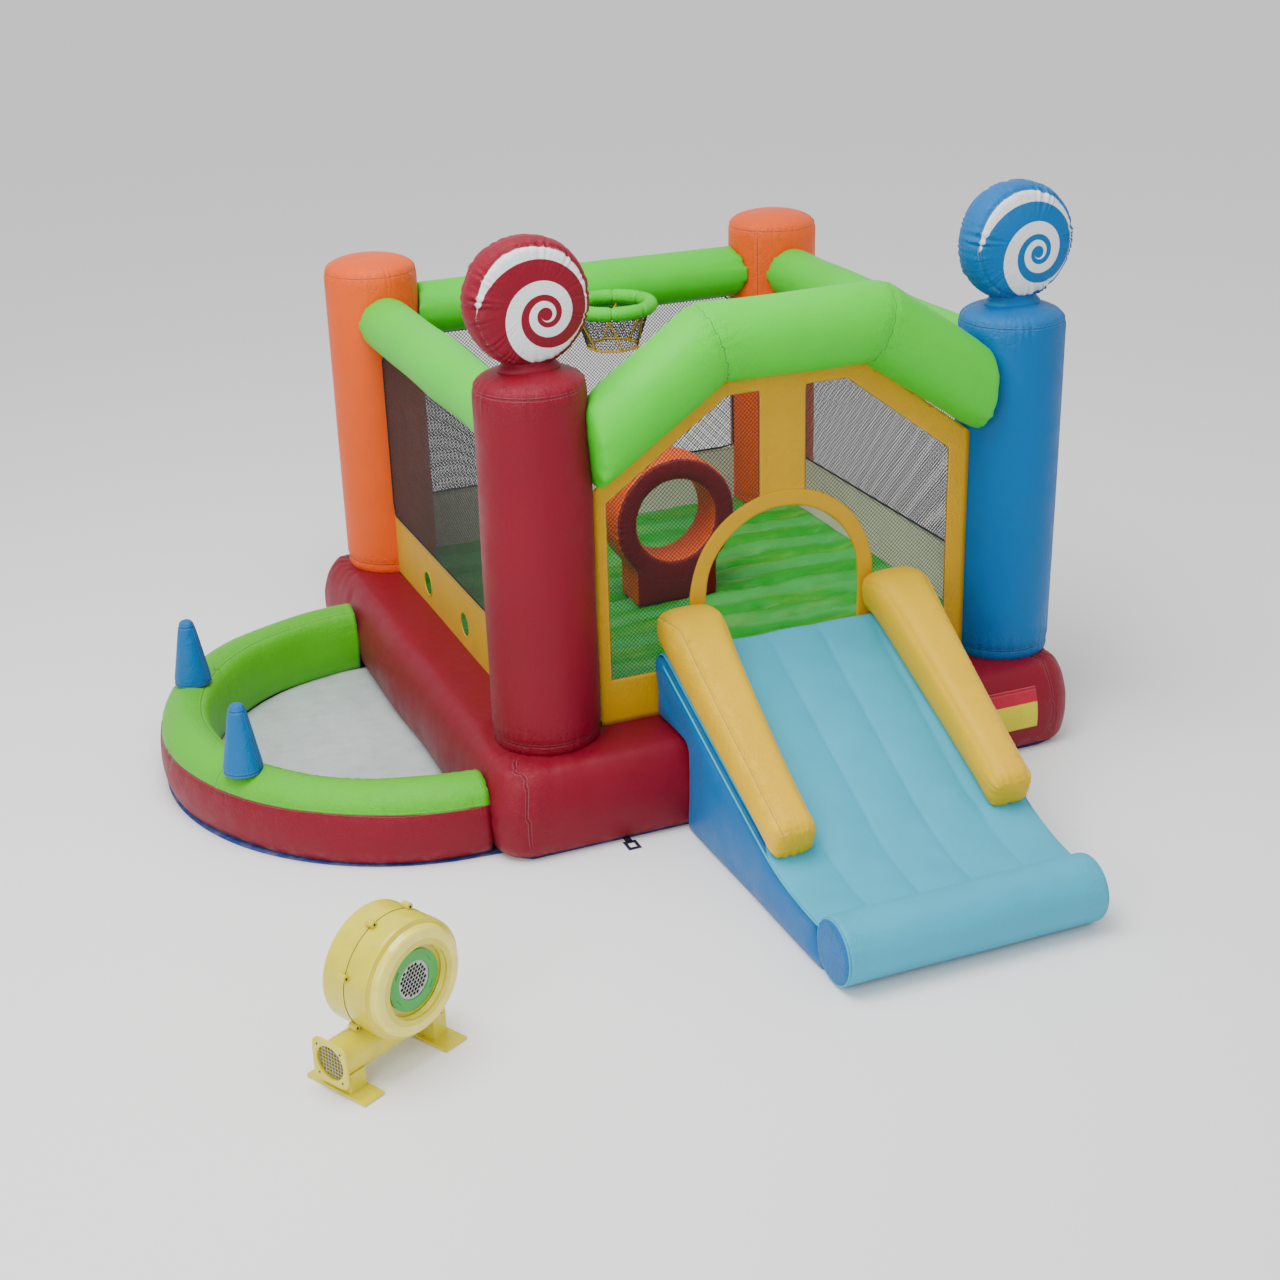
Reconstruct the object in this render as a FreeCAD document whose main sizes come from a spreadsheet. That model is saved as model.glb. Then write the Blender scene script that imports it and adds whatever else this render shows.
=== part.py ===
import FreeCAD, Part
import math
import os
import Sketcher
from FreeCAD import Placement, Rotation, Vector

# Inflatable bounce house with a slide, a half-round pool and a separate fan blower.
# Millimetres, +Z up, the front faces -Y. Dimensions are measured from the axis of the
# front left post; every finished piece is then shifted so the whole set is centred.

doc = FreeCAD.newDocument("bounce_house")

DIMENSIONS = (
    ("skin", 1.2, "wall of an air chamber"),
    ("sheet", 1, "ground sheets and the slide sheet"),
    ("gap", 1, "clearance between sewn chambers"),
    ("post_pitch_x", 1920, "post axis to post axis across the front"),
    ("post_pitch_y", 2030, "post axis to post axis front to back"),
    ("post_radius", 200, ""),
    ("post_foot", 336, "underside of the posts"),
    ("seam_height", 1650, "seam between post and dome"),
    ("dome_rise", 65, "dome above the seam"),
    ("base_top", 335, "top of base and floor"),
    ("base_left", 300, "base beyond the left posts"),
    ("base_front", 335, "base beyond the front posts"),
    ("base_right", 170, "base beyond the right posts"),
    ("base_back", 200, "base beyond the back posts"),
    ("base_round", 90, "edge rounding of the base"),
    ("floor_round", 20, "edge rounding of the floor"),
    ("baffle_pitch", 240, "between floor baffles"),
    ("rail_radius", 115, ""),
    ("rail_height", 1455, "axis of the rails"),
    ("arch_radius", 145, ""),
    ("arch_height", 1730, "axis of the level part of the arch"),
    ("arch_level", 656, "length of the level part on its axis"),
    ("arch_slope", 34.2, "degrees"),
    ("arch_leg", 720, "length of a sloping part on its axis"),
    ("arch_forward", 80, "arch axis in front of the post axes"),
    ("lolly_radius", 222, ""),
    ("lolly_thick", 200, ""),
    ("lolly_round", 85, ""),
    ("lolly_height", 1940, "centre of the lollipop discs"),
    ("front_plane", 50, "front wall in front of the post axes"),
    ("frame_thick", 4, ""),
    ("net_thick", 1, ""),
    ("window_sill", 514, "lower edge of the front windows"),
    ("window_left", 243, ""),
    ("window_right", 1635, ""),
    ("window_shoulder", 1195, "where the window starts to slope"),
    ("window_top", 1524, ""),
    ("window_slope_run", 476, "sideways run of the sloping window edge"),
    ("frame_top", 1585, "frame meets the arch"),
    ("frame_shoulder", 1280, "outer frame where it starts to slope"),
    ("centre_x", 938, "middle of the doorway and the centre strip"),
    ("centre_half", 94, "half width of the centre strip"),
    ("door_outer", 380, ""),
    ("door_inner", 315, ""),
    ("door_height", 760, "centre of the doorway arch"),
    ("door_thick", 12, ""),
    ("band_top", 600, "top of the fabric bands"),
    ("net_top", 1339, "side and back nets meet the rails"),
    ("wall_out", 30, "side nets outside the post axes"),
    ("ball_hole_radius", 50, ""),
    ("ball_hole_height", 440, ""),
    ("ball_hole_front", 863, ""),
    ("ball_hole_back", 1366, ""),
    ("slide_left", 400, ""),
    ("slide_right_top", 1500, ""),
    ("slide_right_end", 1375, ""),
    ("slide_top", 585, ""),
    ("slide_foot", 195, "slide surface where it flattens"),
    ("slide_foot_y", 1060, ""),
    ("slide_end", 1400, ""),
    ("slide_end_top", 160, ""),
    ("roll_radius", 115, ""),
    ("roll_y", 1470, "axis of the end roll"),
    ("rail_top_radius", 130, "slide rail, upper end"),
    ("rail_end_radius", 80, "slide rail, lower end"),
    ("pool_centre_x", 280, ""),
    ("pool_centre_y", 780, ""),
    ("pool_outer", 1000, ""),
    ("pool_inner", 800, ""),
    ("pool_height", 280, ""),
    ("pool_round", 70, ""),
    ("cone_base", 72, ""),
    ("cone_tip", 24, ""),
    ("cone_height", 270, ""),
    ("tunnel_x", 946, ""),
    ("tunnel_y", 1050, ""),
    ("tunnel_z", 695, ""),
    ("tunnel_outer", 272, ""),
    ("tunnel_inner", 176, ""),
    ("tunnel_depth", 200, ""),
    ("tunnel_foot", 363, "width of the block under the ring"),
    ("hoop_x", 985, ""),
    ("hoop_y", 1711, ""),
    ("hoop_z", 1445, ""),
    ("hoop_radius", 170, ""),
    ("hoop_tube", 32, ""),
    ("hoop_net_end", 110, ""),
    ("hoop_net_drop", 150, ""),
    ("sleeve_radius", 60, ""),
    ("sleeve_length", 300, ""),
    ("sleeve_x", 420, ""),
    ("zip_x", 1350, ""),
    ("zip_length", 360, ""),
    ("zip_height", 168, ""),
    ("blower_x", -955, ""),
    ("blower_y", -1235, ""),
    ("blower_turn", 28, "degrees"),
    ("drum_radius", 190, ""),
    ("drum_half", 90, "half depth of the fan housing"),
    ("drum_height", 290, "fan axis"),
    ("housing_wall", 3, ""),
    ("nozzle_radius", 62, ""),
    ("nozzle_reach", 265, ""),
    ("nozzle_height", 105, ""),
    ("intake_radius", 86, ""),
    ("collar_radius", 172, "raised ring on the front half"),
    ("collar_bore", 118, ""),
    ("collar_rise", 28, ""),
    ("guard_radius", 62, ""),
    ("lug_radius", 11, ""),
    ("lug_circle", 199, ""),
    ("fan_radius", 150, ""),
    ("fan_eye", 110, ""),
    ("fan_blades", 20, ""),
    ("shaft_radius", 5, ""),
    ("motor_radius", 48, ""),
)

dims = doc.addObject("Spreadsheet::Sheet", "dims")
for row, (alias, amount, note) in enumerate(DIMENSIONS, start=1):
    dims.set(f"A{row}", alias)
    dims.set(f"B{row}", str(amount))
    dims.set(f"C{row}", note)
    dims.setAlias(f"B{row}", alias)
shift_row = len(DIMENSIONS) + 1
dims.set(f"B{shift_row}", "=(pool_outer + 5 + pool_centre_x - post_pitch_x - lolly_radius) / 2")
dims.setAlias(f"B{shift_row}", "shift_x")
dims.set(f"B{shift_row + 1}",
         "=(roll_y + roll_radius - post_pitch_y - base_back - sleeve_length) / 2")
dims.setAlias(f"B{shift_row + 1}", "shift_y")
doc.recompute()


def value(alias):
    """Current value of a driving dimension."""
    return float(getattr(dims, alias))


def e(text):
    """Write a formula in driving dimensions as an expression on the spreadsheet."""
    if not isinstance(text, str):
        return str(text)
    words = {alias for alias, _, _ in DIMENSIONS} | {"shift_x", "shift_y"}
    out = ""
    word = ""
    for letter in text + " ":
        if letter.isalnum() or letter == "_":
            word += letter
            continue
        out += f"dims.{word}" if word in words else word
        out += letter
        word = ""
    return out.strip()


def bind(item, **formulas):
    for name, formula in formulas.items():
        item.setExpression(name, e(formula))


def seat(item, x, y, z, rotation=None):
    """Place an item; the three coordinates are formulas."""
    if rotation is not None:
        item.Placement = Placement(Vector(), rotation)
    item.setExpression("Placement.Base.x", e(x))
    item.setExpression("Placement.Base.y", e(y))
    item.setExpression("Placement.Base.z", e(z))
    return item


ALONG_X = Rotation(Vector(0, 1, 0), 90)
ALONG_Y = Rotation(Vector(1, 0, 0), -90)
UPRIGHT = Rotation()


def box(name, size, corner, rotation=None):
    item = doc.addObject("Part::Box", name)
    bind(item, Length=size[0], Width=size[1], Height=size[2])
    return seat(item, *corner, rotation)


def rod(name, radius, length, start, rotation=UPRIGHT, angle=360):
    item = doc.addObject("Part::Cylinder", name)
    bind(item, Radius=radius, Height=length, Angle=angle)
    return seat(item, *start, rotation)


def cone(name, start_radius, end_radius, length, start, rotation=UPRIGHT, angle=360):
    item = doc.addObject("Part::Cone", name)
    bind(item, Radius1=start_radius, Radius2=end_radius, Height=length, Angle=angle)
    return seat(item, *start, rotation)


def ball(name, radius, centre):
    item = doc.addObject("Part::Sphere", name)
    bind(item, Radius=radius)
    return seat(item, *centre)


def cut(name, whole, tool):
    item = doc.addObject("Part::Cut", name)
    item.Base = whole
    item.Tool = tool
    return item


def common(name, one, other):
    item = doc.addObject("Part::Common", name)
    item.Base = one
    item.Tool = other
    return item


def fuse(name, pieces):
    item = doc.addObject("Part::MultiFuse", name)
    item.Shapes = pieces
    return item


def group(name, pieces):
    item = doc.addObject("Part::Compound", name)
    item.Links = pieces
    return item


def rounded(name, solid, radius, chosen):
    """Round the edges picked by the test `chosen`."""
    doc.recompute()
    item = doc.addObject("Part::Fillet", name)
    item.Base = solid
    picked = []
    for number, edge in enumerate(solid.Shape.Edges, start=1):
        if chosen(edge):
            picked.append((number, radius, radius))
    item.Edges = picked
    return item


def every_edge(edge):
    return True


def circle_edge(edge):
    return isinstance(edge.Curve, Part.Circle)


def runs_along_x(edge):
    direction = edge.tangentAt(edge.FirstParameter)
    return abs(direction.x) > 0.99


PIECES = {}


def finish(name, label, item):
    """Register a finished piece and shift it into the shared frame."""
    if any("Placement" in path for path, _ in item.ExpressionEngine):
        item = group(name + "_piece", [item])
    item.Label = label
    item.setExpression("Placement.Base.x", e("shift_x"))
    item.setExpression("Placement.Base.y", e("shift_y"))
    PIECES[name] = item
    return item


def finish_blower(name, label, item):
    """Register a blower piece: turned about the vertical and set down in front."""
    if any("Placement" in path for path, _ in item.ExpressionEngine):
        item = group(name + "_piece", [item])
    item.Label = label
    item.Placement = Placement(Vector(), Rotation(Vector(0, 0, 1), value("blower_turn")))
    item.setExpression("Placement.Rotation.Angle", e("blower_turn"))
    item.setExpression("Placement.Base.x", e("blower_x + shift_x"))
    item.setExpression("Placement.Base.y", e("blower_y + shift_y"))
    PIECES[name] = item
    return item


def chamber(name, label, maker, *details):
    """A sealed air chamber: the outer form less the air inside its skin."""
    outer = maker(name + "_form", "0", *details)
    air = maker(name + "_air", "skin", *details)
    return finish(name, label, cut(name, outer, air))


def outline(body, name, plane, corners):
    """A closed sketch with straight sides; every corner is tied to the dimensions."""
    sketch = body.newObject("Sketcher::SketchObject", name)
    for item in body.Origin.OriginFeatures:
        if item.Role == plane:
            sketch.AttachmentSupport = [(item, "")]
    sketch.MapMode = "FlatFace"
    count = len(corners)
    lines = []
    for k in range(count):
        a = Vector(10 * math.cos(6.28 * k / count), 10 * math.sin(6.28 * k / count), 0)
        step = (k + 1) % count
        b = Vector(10 * math.cos(6.28 * step / count), 10 * math.sin(6.28 * step / count), 0)
        lines.append(sketch.addGeometry(Part.LineSegment(a, b), False))
    for k, line in enumerate(lines):
        after = lines[(k + 1) % count]
        sketch.addConstraint(Sketcher.Constraint("Coincident", line, 2, after, 1))
    for k, (across, up) in enumerate(corners):
        for kind, formula in (("DistanceX", across), ("DistanceY", up)):
            index = sketch.addConstraint(Sketcher.Constraint(kind, -1, 1, lines[k], 1, 5.0))
            sketch.setExpression(f"Constraints[{index}]", e(formula))
    return sketch


def pad(name, plane, corners, length, at):
    """A straight-sided plate or prism grown from its outline."""
    body = doc.addObject("PartDesign::Body", name)
    sketch = outline(body, name + "_outline", plane, corners)
    item = body.newObject("PartDesign::Pad", name + "_pad")
    item.Profile = sketch
    item.setExpression("Length", e(length))
    body.Tip = item
    return seat(body, *at)


def sectors(name, whole, count, start, sweep, radius, depth, centre, rotation=UPRIGHT):
    """Cut a ring into equal segments about its axis."""
    pieces = []
    for k in range(count):
        turn = rotation * Rotation(Vector(0, 0, 1), start + k * sweep / count)
        wedge = rod(f"{name}_wedge{k + 1}", radius, depth, centre, turn, sweep / count)
        pieces.append(common(f"{name}_{k + 1}", whole, wedge))
    return group(name, pieces)


# ---------------------------------------------------------------- base and floor

def side_bolster(name, inset, x, width):
    solid = box(name + "_box",
                (f"{width} - 2 * {inset}",
                 f"base_front + post_pitch_y + base_back - 2 * {inset}",
                 f"base_top - sheet - 2 * {inset}"),
                (f"{x} + {inset}", f"{inset} - base_front", f"sheet + {inset}"))
    trim = 0 if inset == "0" else value("skin")
    reach = min(value("base_round"), value(width) / 2 - 6)
    return rounded(name, solid, reach - trim, every_edge)


def cross_bolster(name, inset, y, depth):
    solid = box(name + "_box",
                (f"post_pitch_x - 2 * {inset}", f"{depth} - 2 * {inset}",
                 f"base_top - sheet - 2 * {inset}"),
                (f"{inset}", f"{y} + {inset}", f"sheet + {inset}"))
    trim = 0 if inset == "0" else value("skin")
    return rounded(name, solid, value("base_round") - trim, runs_along_x)


chamber("base_left", "Base, left side", side_bolster, "-base_left", "base_left")
chamber("base_right", "Base, right side", side_bolster, "post_pitch_x", "base_right")
chamber("base_front", "Base, front", cross_bolster, "-base_front", "base_front")
chamber("base_back", "Base, back", cross_bolster, "post_pitch_y", "base_back")


def floor_form(name, inset):
    solid = box(name + "_box",
                (f"post_pitch_x - 2 * {inset}", f"post_pitch_y - 2 * {inset}",
                 f"base_top - sheet - 2 * {inset}"),
                (f"{inset}", f"{inset}", f"sheet + {inset}"))
    trim = 0 if inset == "0" else value("skin")
    return rounded(name, solid, value("floor_round") - trim, every_edge)


chamber("jump_floor", "Jumping floor", floor_form)

baffles = []
for k in range(1, 8):
    baffles.append(box(f"baffle{k}",
                       ("post_pitch_x - 60", "1", "base_top - sheet - 2 * skin - 2 * gap"),
                       ("30", f"{k} * baffle_pitch + 40", "sheet + skin + gap")))
finish("floor_baffles", "Baffles inside the floor", group("floor_baffles", baffles))

house_sheet = box("house_sheet",
                  ("base_left + post_pitch_x + base_right - 50",
                   "base_front + post_pitch_y + base_back - 50", "sheet"),
                  ("25 - base_left", "25 - base_front", "0"))

# ---------------------------------------------------------------- posts and lollipops

def post_form(name, inset, x, y):
    shaft = rod(name + "_shaft", f"post_radius - {inset}",
                f"seam_height - post_foot - {inset}", (x, y, f"post_foot + {inset}"))
    dome = doc.addObject("Part::Ellipsoid", name + "_dome")
    bind(dome, Radius1=f"dome_rise - {inset}", Radius2=f"post_radius - {inset}",
         Radius3=f"post_radius - {inset}", Angle1="0", Angle2="90")
    seat(dome, x, y, "seam_height")
    return fuse(name, [shaft, dome])


chamber("post_front_left", "Front left post", post_form, "0", "0")
chamber("post_front_right", "Front right post", post_form, "post_pitch_x", "0")
chamber("post_back_left", "Back left post", post_form, "0", "post_pitch_y")
chamber("post_back_right", "Back right post", post_form, "post_pitch_x", "post_pitch_y")


def lolly_form(name, inset, x):
    disc = rod(name + "_disc", f"lolly_radius - {inset}", f"lolly_thick - 2 * {inset}",
               (x, f"{inset} - lolly_thick / 2", "lolly_height"), ALONG_Y)
    trim = 0 if inset == "0" else value("skin")
    return rounded(name, disc, value("lolly_round") - trim, circle_edge)


chamber("lollipop_left", "Left lollipop", lolly_form, "0")
chamber("lollipop_right", "Right lollipop", lolly_form, "post_pitch_x")

# ---------------------------------------------------------------- rails and arch

def rail_form(name, inset, turn, length, x, y, near, far):
    tube = rod(name + "_tube", f"rail_radius - {inset}", length, (x, y, "rail_height"), turn)
    first = rod(name + "_saddle1", f"post_radius + gap + {inset}", "seam_height",
                (near[0], near[1], "0"))
    second = rod(name + "_saddle2", f"post_radius + gap + {inset}", "seam_height",
                 (far[0], far[1], "0"))
    return cut(name, cut(name + "_one", tube, first), second)


chamber("rail_left", "Left rail", rail_form, ALONG_Y, "post_pitch_y", "0", "0",
        ("0", "0"), ("0", "post_pitch_y"))
chamber("rail_right", "Right rail", rail_form, ALONG_Y, "post_pitch_y", "post_pitch_x", "0",
        ("post_pitch_x", "0"), ("post_pitch_x", "post_pitch_y"))
chamber("rail_back", "Back rail", rail_form, ALONG_X, "post_pitch_x", "0", "post_pitch_y",
        ("0", "post_pitch_y"), ("post_pitch_x", "post_pitch_y"))


def mitre_block(name, inset, near_slant, far_slant, length):
    """The block that trims a length of arch tube to its mitres."""
    item = doc.addObject("Part::Wedge", name)
    lean = "(arch_radius * tan(arch_slope / 2 * 1 deg))"
    bind(item, Xmin=f"{inset} + {near_slant} * {lean}", X2min=f"{inset} - {near_slant} * {lean}",
         Xmax=f"{length} - {inset} - {far_slant} * {lean}",
         X2max=f"{length} - {inset} + {far_slant} * {lean}",
         Ymin="0", Ymax="2 * arch_radius", Zmin="-arch_radius", Zmax="arch_radius",
         Z2min="-arch_radius", Z2max="arch_radius")
    return item


def arch_level_form(name, inset):
    tube = rod(name + "_tube", f"arch_radius - {inset}", "arch_level + 200", ("-100", "0", "0"),
               ALONG_X)
    block = mitre_block(name + "_block", inset, 1, 1, "arch_level")
    seat(block, "0", "0", "-arch_radius", Rotation(Vector(1, 0, 0), 90))
    item = common(name, tube, block)
    return seat(item, "(post_pitch_x - arch_level) / 2", "-arch_forward", "arch_height")


def arch_slope_form(name, inset):
    tube = rod(name + "_tube", f"arch_radius - {inset}", "arch_leg + 200", ("-100", "0", "0"),
               ALONG_X)
    block = mitre_block(name + "_block", inset, 1, 0, "arch_leg")
    seat(block, "0", "0", "-arch_radius", Rotation(Vector(1, 0, 0), 90))
    leg = common(name + "_leg", tube, block)
    leg.Placement = Placement(Vector(), Rotation(Vector(0, 1, 0), value("arch_slope")))
    leg.setExpression("Placement.Rotation.Angle", e("arch_slope"))
    seat(leg, "(post_pitch_x + arch_level) / 2", "-arch_forward", "arch_height")
    saddle = rod(name + "_saddle", f"post_radius + gap + {inset}", "2 * seam_height",
                 ("post_pitch_x", "0", "0"))
    beyond = box(name + "_beyond", ("600", "600", "2 * seam_height"),
                 (f"post_pitch_x - 90 - {inset}", "-300", "0"))
    return cut(name, cut(name + "_open", leg, saddle), beyond)


chamber("arch_level", "Arch, level part", arch_level_form)
chamber("arch_right", "Arch, right slope", arch_slope_form)
arch_left = doc.addObject("Part::Mirroring", "arch_left")
arch_left.Source = PIECES["arch_right"]
arch_left.Normal = Vector(1, 0, 0)
arch_left.setExpression("Base.x", e("post_pitch_x / 2 + shift_x"))
arch_left.Label = "Arch, left slope"
PIECES["arch_left"] = arch_left

# ---------------------------------------------------------------- front wall

def front_plate(name, corners, thickness):
    return pad(name, "XZ_Plane", corners, thickness,
               ("0", f"{thickness} / 2 - front_plane", "0"))


post_edge = "(post_radius - 5)"
right_edge = "(post_pitch_x - post_radius + 5)"
strip_left = front_plate("strip_left", (
    (post_edge, "post_foot"), ("window_left", "post_foot"),
    ("window_left", "window_shoulder"), (post_edge, "window_shoulder")), "frame_thick")
slope_left = front_plate("slope_left", (
    (post_edge, "window_shoulder"), ("window_left", "window_shoulder"),
    ("window_left + window_slope_run", "window_top"),
    ("window_left + window_slope_run", "frame_top"),
    ("window_left + window_slope_run - 70", "frame_top - 17"),
    (post_edge, "frame_shoulder - 44")), "frame_thick")
top_left = front_plate("top_left", (
    ("window_left + window_slope_run", "window_top"), ("centre_x - centre_half", "window_top"),
    ("centre_x - centre_half", "frame_top"),
    ("window_left + window_slope_run", "frame_top")), "frame_thick")
middle = front_plate("middle", (
    ("centre_x - centre_half", "door_height + door_outer"),
    ("centre_x + centre_half", "door_height + door_outer"),
    ("centre_x + centre_half", "frame_top"),
    ("centre_x - centre_half", "frame_top")), "frame_thick")
top_right = front_plate("top_right", (
    ("centre_x + centre_half", "window_top"), ("window_right - window_slope_run + 40", "window_top"),
    ("window_right - window_slope_run + 40", "frame_top"),
    ("centre_x + centre_half", "frame_top")), "frame_thick")
slope_right = front_plate("slope_right", (
    ("window_right - window_slope_run + 40", "window_top"), ("window_right", "window_shoulder"),
    (right_edge, "window_shoulder"), (right_edge, "frame_shoulder - 44"),
    ("window_right - window_slope_run + 110", "frame_top - 18"),
    ("window_right - window_slope_run + 40", "frame_top")), "frame_thick")
strip_right = front_plate("strip_right", (
    ("window_right", "post_foot"), (right_edge, "post_foot"),
    (right_edge, "window_shoulder"), ("window_right", "window_shoulder")), "frame_thick")
sill_left = front_plate("sill_left", (
    ("window_left", "post_foot"), ("centre_x - door_outer", "post_foot"),
    ("centre_x - door_outer", "window_sill"), ("window_left", "window_sill")), "frame_thick")
sill_right = front_plate("sill_right", (
    ("centre_x + door_outer", "post_foot"), ("window_right", "post_foot"),
    ("window_right", "window_sill"), ("centre_x + door_outer", "window_sill")), "frame_thick")
finish("front_frame", "Front wall frame", group("front_frame", [
    strip_left, slope_left, top_left, middle, top_right, slope_right, strip_right,
    sill_left, sill_right]))

doorway = []
ring_disc = rod("door_disc", "door_outer", "door_thick",
                ("centre_x", "-front_plane - door_thick / 2", "door_height"), ALONG_Y)
ring_hole = rod("door_hole", "door_inner", "door_thick",
                ("centre_x", "-front_plane - door_thick / 2", "door_height"), ALONG_Y)
ring = cut("door_ring", ring_disc, ring_hole)
for k in range(8):
    turn = ALONG_Y * Rotation(Vector(0, 0, 1), 180 + k * 22.5)
    wedge = rod(f"door_wedge{k + 1}", "door_outer + 20", "door_thick",
                ("centre_x", "-front_plane - door_thick / 2", "door_height"), turn, 22.5)
    doorway.append(common(f"door_arc{k + 1}", ring, wedge))
for side, corner in (("left", "centre_x - door_outer"), ("right", "centre_x + door_inner")):
    doorway.append(box(f"door_leg_{side}",
                       ("door_outer - door_inner", "door_thick", "door_height - post_foot"),
                       (corner, "-front_plane - door_thick / 2", "post_foot")))
finish("doorway_arch", "Doorway arch", group("doorway_arch", doorway))

door_clear = fuse("door_clear", [
    rod("door_clear_disc", "door_outer + gap", "200",
        ("centre_x", "-front_plane - 100", "door_height"), ALONG_Y),
    box("door_clear_box", ("2 * (door_outer + gap)", "200", "door_height - 100"),
        ("centre_x - door_outer - gap", "-front_plane - 100", "100"))])
window_left = front_plate("window_left", (
    ("window_left + gap", "window_sill + gap"), ("centre_x - centre_half - gap", "window_sill + gap"),
    ("centre_x - centre_half - gap", "window_top - gap"),
    ("window_left + window_slope_run", "window_top - gap"),
    ("window_left + gap", "window_shoulder")), "net_thick")
finish("net_front_left", "Front left net", cut("net_front_left", window_left, door_clear))
window_right = front_plate("window_right", (
    ("centre_x + centre_half + gap", "window_sill + gap"), ("window_right - gap", "window_sill + gap"),
    ("window_right - gap", "window_shoulder"),
    ("window_right - window_slope_run + 40", "window_top - gap"),
    ("centre_x + centre_half + gap", "window_top - gap")), "net_thick")
finish("net_front_right", "Front right net", cut("net_front_right", window_right, door_clear))

# ---------------------------------------------------------------- side and back walls

side_run = "post_pitch_y - 2 * post_radius - 2 * gap"
back_run = "post_pitch_x - 2 * post_radius - 2 * gap"
finish("net_left", "Left net", box(
    "net_left", ("net_thick", side_run, "net_top - band_top - gap"),
    ("-wall_out", "post_radius + gap", "band_top + gap")))
finish("net_right", "Right net", box(
    "net_right", ("net_thick", side_run, "net_top - band_top - gap"),
    ("post_pitch_x + wall_out - 10", "post_radius + gap", "band_top + gap")))
finish("net_back", "Back net", box(
    "net_back", (back_run, "net_thick", "net_top - band_top - gap"),
    ("post_radius + gap", "post_pitch_y + 10", "band_top + gap")))
finish("band_right", "Right fabric band", box(
    "band_right", ("skin", side_run, "band_top - post_foot"),
    ("post_pitch_x + wall_out - 10", "post_radius + gap", "post_foot")))
finish("band_back", "Back fabric band", box(
    "band_back", (back_run, "skin", "band_top - post_foot"),
    ("post_radius + gap", "post_pitch_y + 10", "post_foot")))
band_plate = box("band_plate", ("skin", side_run, "band_top - post_foot"),
                 ("-wall_out", "post_radius + gap", "post_foot"))
ball_holes = []
for spot in ("ball_hole_front", "ball_hole_back"):
    ball_holes.append(rod(spot + "_cutter", "ball_hole_radius", "40",
                          ("-wall_out - 20", spot, "ball_hole_height"), ALONG_X))
finish("band_left", "Left band with ball holes",
       cut("band_left", band_plate, fuse("ball_hole_cutters", ball_holes)))

# ---------------------------------------------------------------- slide

def under_slide(name, rise):
    """Everything below the sliding surface, raised by `rise`."""
    return pad(name, "YZ_Plane", (
        ("-slide_end - 300", "-50"), ("200", "-50"), ("200", f"slide_top + {rise}"),
        ("-120", f"slide_top + {rise}"), ("-slide_foot_y", f"slide_foot + {rise} * 1.1"),
        ("-slide_end", f"slide_end_top + {rise}"),
        ("-slide_end - 300", f"slide_end_top + {rise}")), "2000", ("0", "0", "0"))


def slide_plan(name, inset):
    """Plan of the slide: the left side is straight, the right side closes in."""
    item = doc.addObject("Part::Wedge", name)
    bind(item, Xmin=f"slide_left + {inset}", X2min=f"slide_left + {inset}",
         Xmax=f"slide_right_end - {inset}", X2max=f"slide_right_top - {inset}",
         Ymin="-slide_end - 10", Ymax="-front_plane", Zmin="-10", Zmax="900", Z2min="-10", Z2max="900")
    return item


def slide_form(name, inset):
    side = pad(name + "_side", "YZ_Plane", (
        (f"{inset} - slide_end", f"{inset}"),
        (f"-base_front - gap - {inset}", f"{inset}"),
        (f"-base_front - gap - {inset}", f"post_foot + gap + {inset}"),
        (f"-front_plane - 8 - {inset}", f"post_foot + gap + {inset}"),
        (f"-front_plane - 8 - {inset}", f"slide_top - {inset}"),
        ("-120", f"slide_top - {inset}"), ("-slide_foot_y", f"slide_foot - {inset} * 1.1"),
        (f"{inset} - slide_end", f"slide_end_top - {inset}")), "2000", ("0", "0", "0"))
    roll_space = rod(name + "_roll", f"roll_radius + gap + {inset}", "2000",
                     ("0", "-roll_y", "roll_radius"), ALONG_X)
    return cut(name, common(name + "_plan", side, slide_plan(name + "_wedge", inset)), roll_space)


chamber("slide_body", "Slide body", slide_form)

sheet_parts = []
surface = (("-front_plane - 8", "slide_top"), ("-120", "slide_top"),
           ("-slide_foot_y", "slide_foot"), ("-roll_y + roll_radius * 0.78", "slide_end_top + 4"))
for k in range(3):
    (near_y, near_z), (far_y, far_z) = surface[k], surface[k + 1]
    strip = pad(f"slide_sheet_strip{k + 1}", "YZ_Plane", (
        (near_y, near_z), (near_y, f"{near_z} + sheet"), (far_y, f"{far_z} + sheet"),
        (far_y, far_z)), "2000", ("0", "0", "0"))
    sheet_parts.append(common(f"slide_sheet{k + 1}", strip, slide_plan(f"slide_sheet_plan{k + 1}", "4")))
sheet_roll = rod("slide_sheet_roll", "roll_radius + gap", "2000", ("0", "-roll_y", "roll_radius"),
                 ALONG_X)
sheet_parts[2] = cut("slide_sheet_end", sheet_parts[2], sheet_roll)
finish("slide_surface", "Slide surface", group("slide_surface", sheet_parts))


def roll_form(name, inset):
    tube = rod(name + "_tube", f"roll_radius - {inset}",
               f"slide_right_end - slide_left - 2 * {inset}",
               (f"slide_left + {inset}", "-roll_y", "roll_radius"), ALONG_X)
    trim = 0 if inset == "0" else value("skin")
    return rounded(name, tube, 24 - trim, circle_edge)


chamber("slide_roll", "Slide end roll", roll_form)


def slide_rail_form(name, inset, upper_x, lower_x):
    top = Vector(upper_x, -192, 622)
    end = Vector(lower_x, -985, 250)
    run = end - top
    shank = cone(name + "_shank", f"rail_top_radius - {inset}", f"rail_end_radius - {inset}",
                 run.Length, (top.x, top.y, top.z), Rotation(Vector(0, 0, 1), run))
    head = ball(name + "_head", f"rail_top_radius - {inset}", (top.x, top.y, top.z))
    toe = ball(name + "_toe", f"rail_end_radius - {inset}", (end.x, end.y, end.z))
    return cut(name, fuse(name + "_whole", [shank, head, toe]),
               under_slide(name + "_below", f"(sheet + gap + {inset})"))


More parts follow.
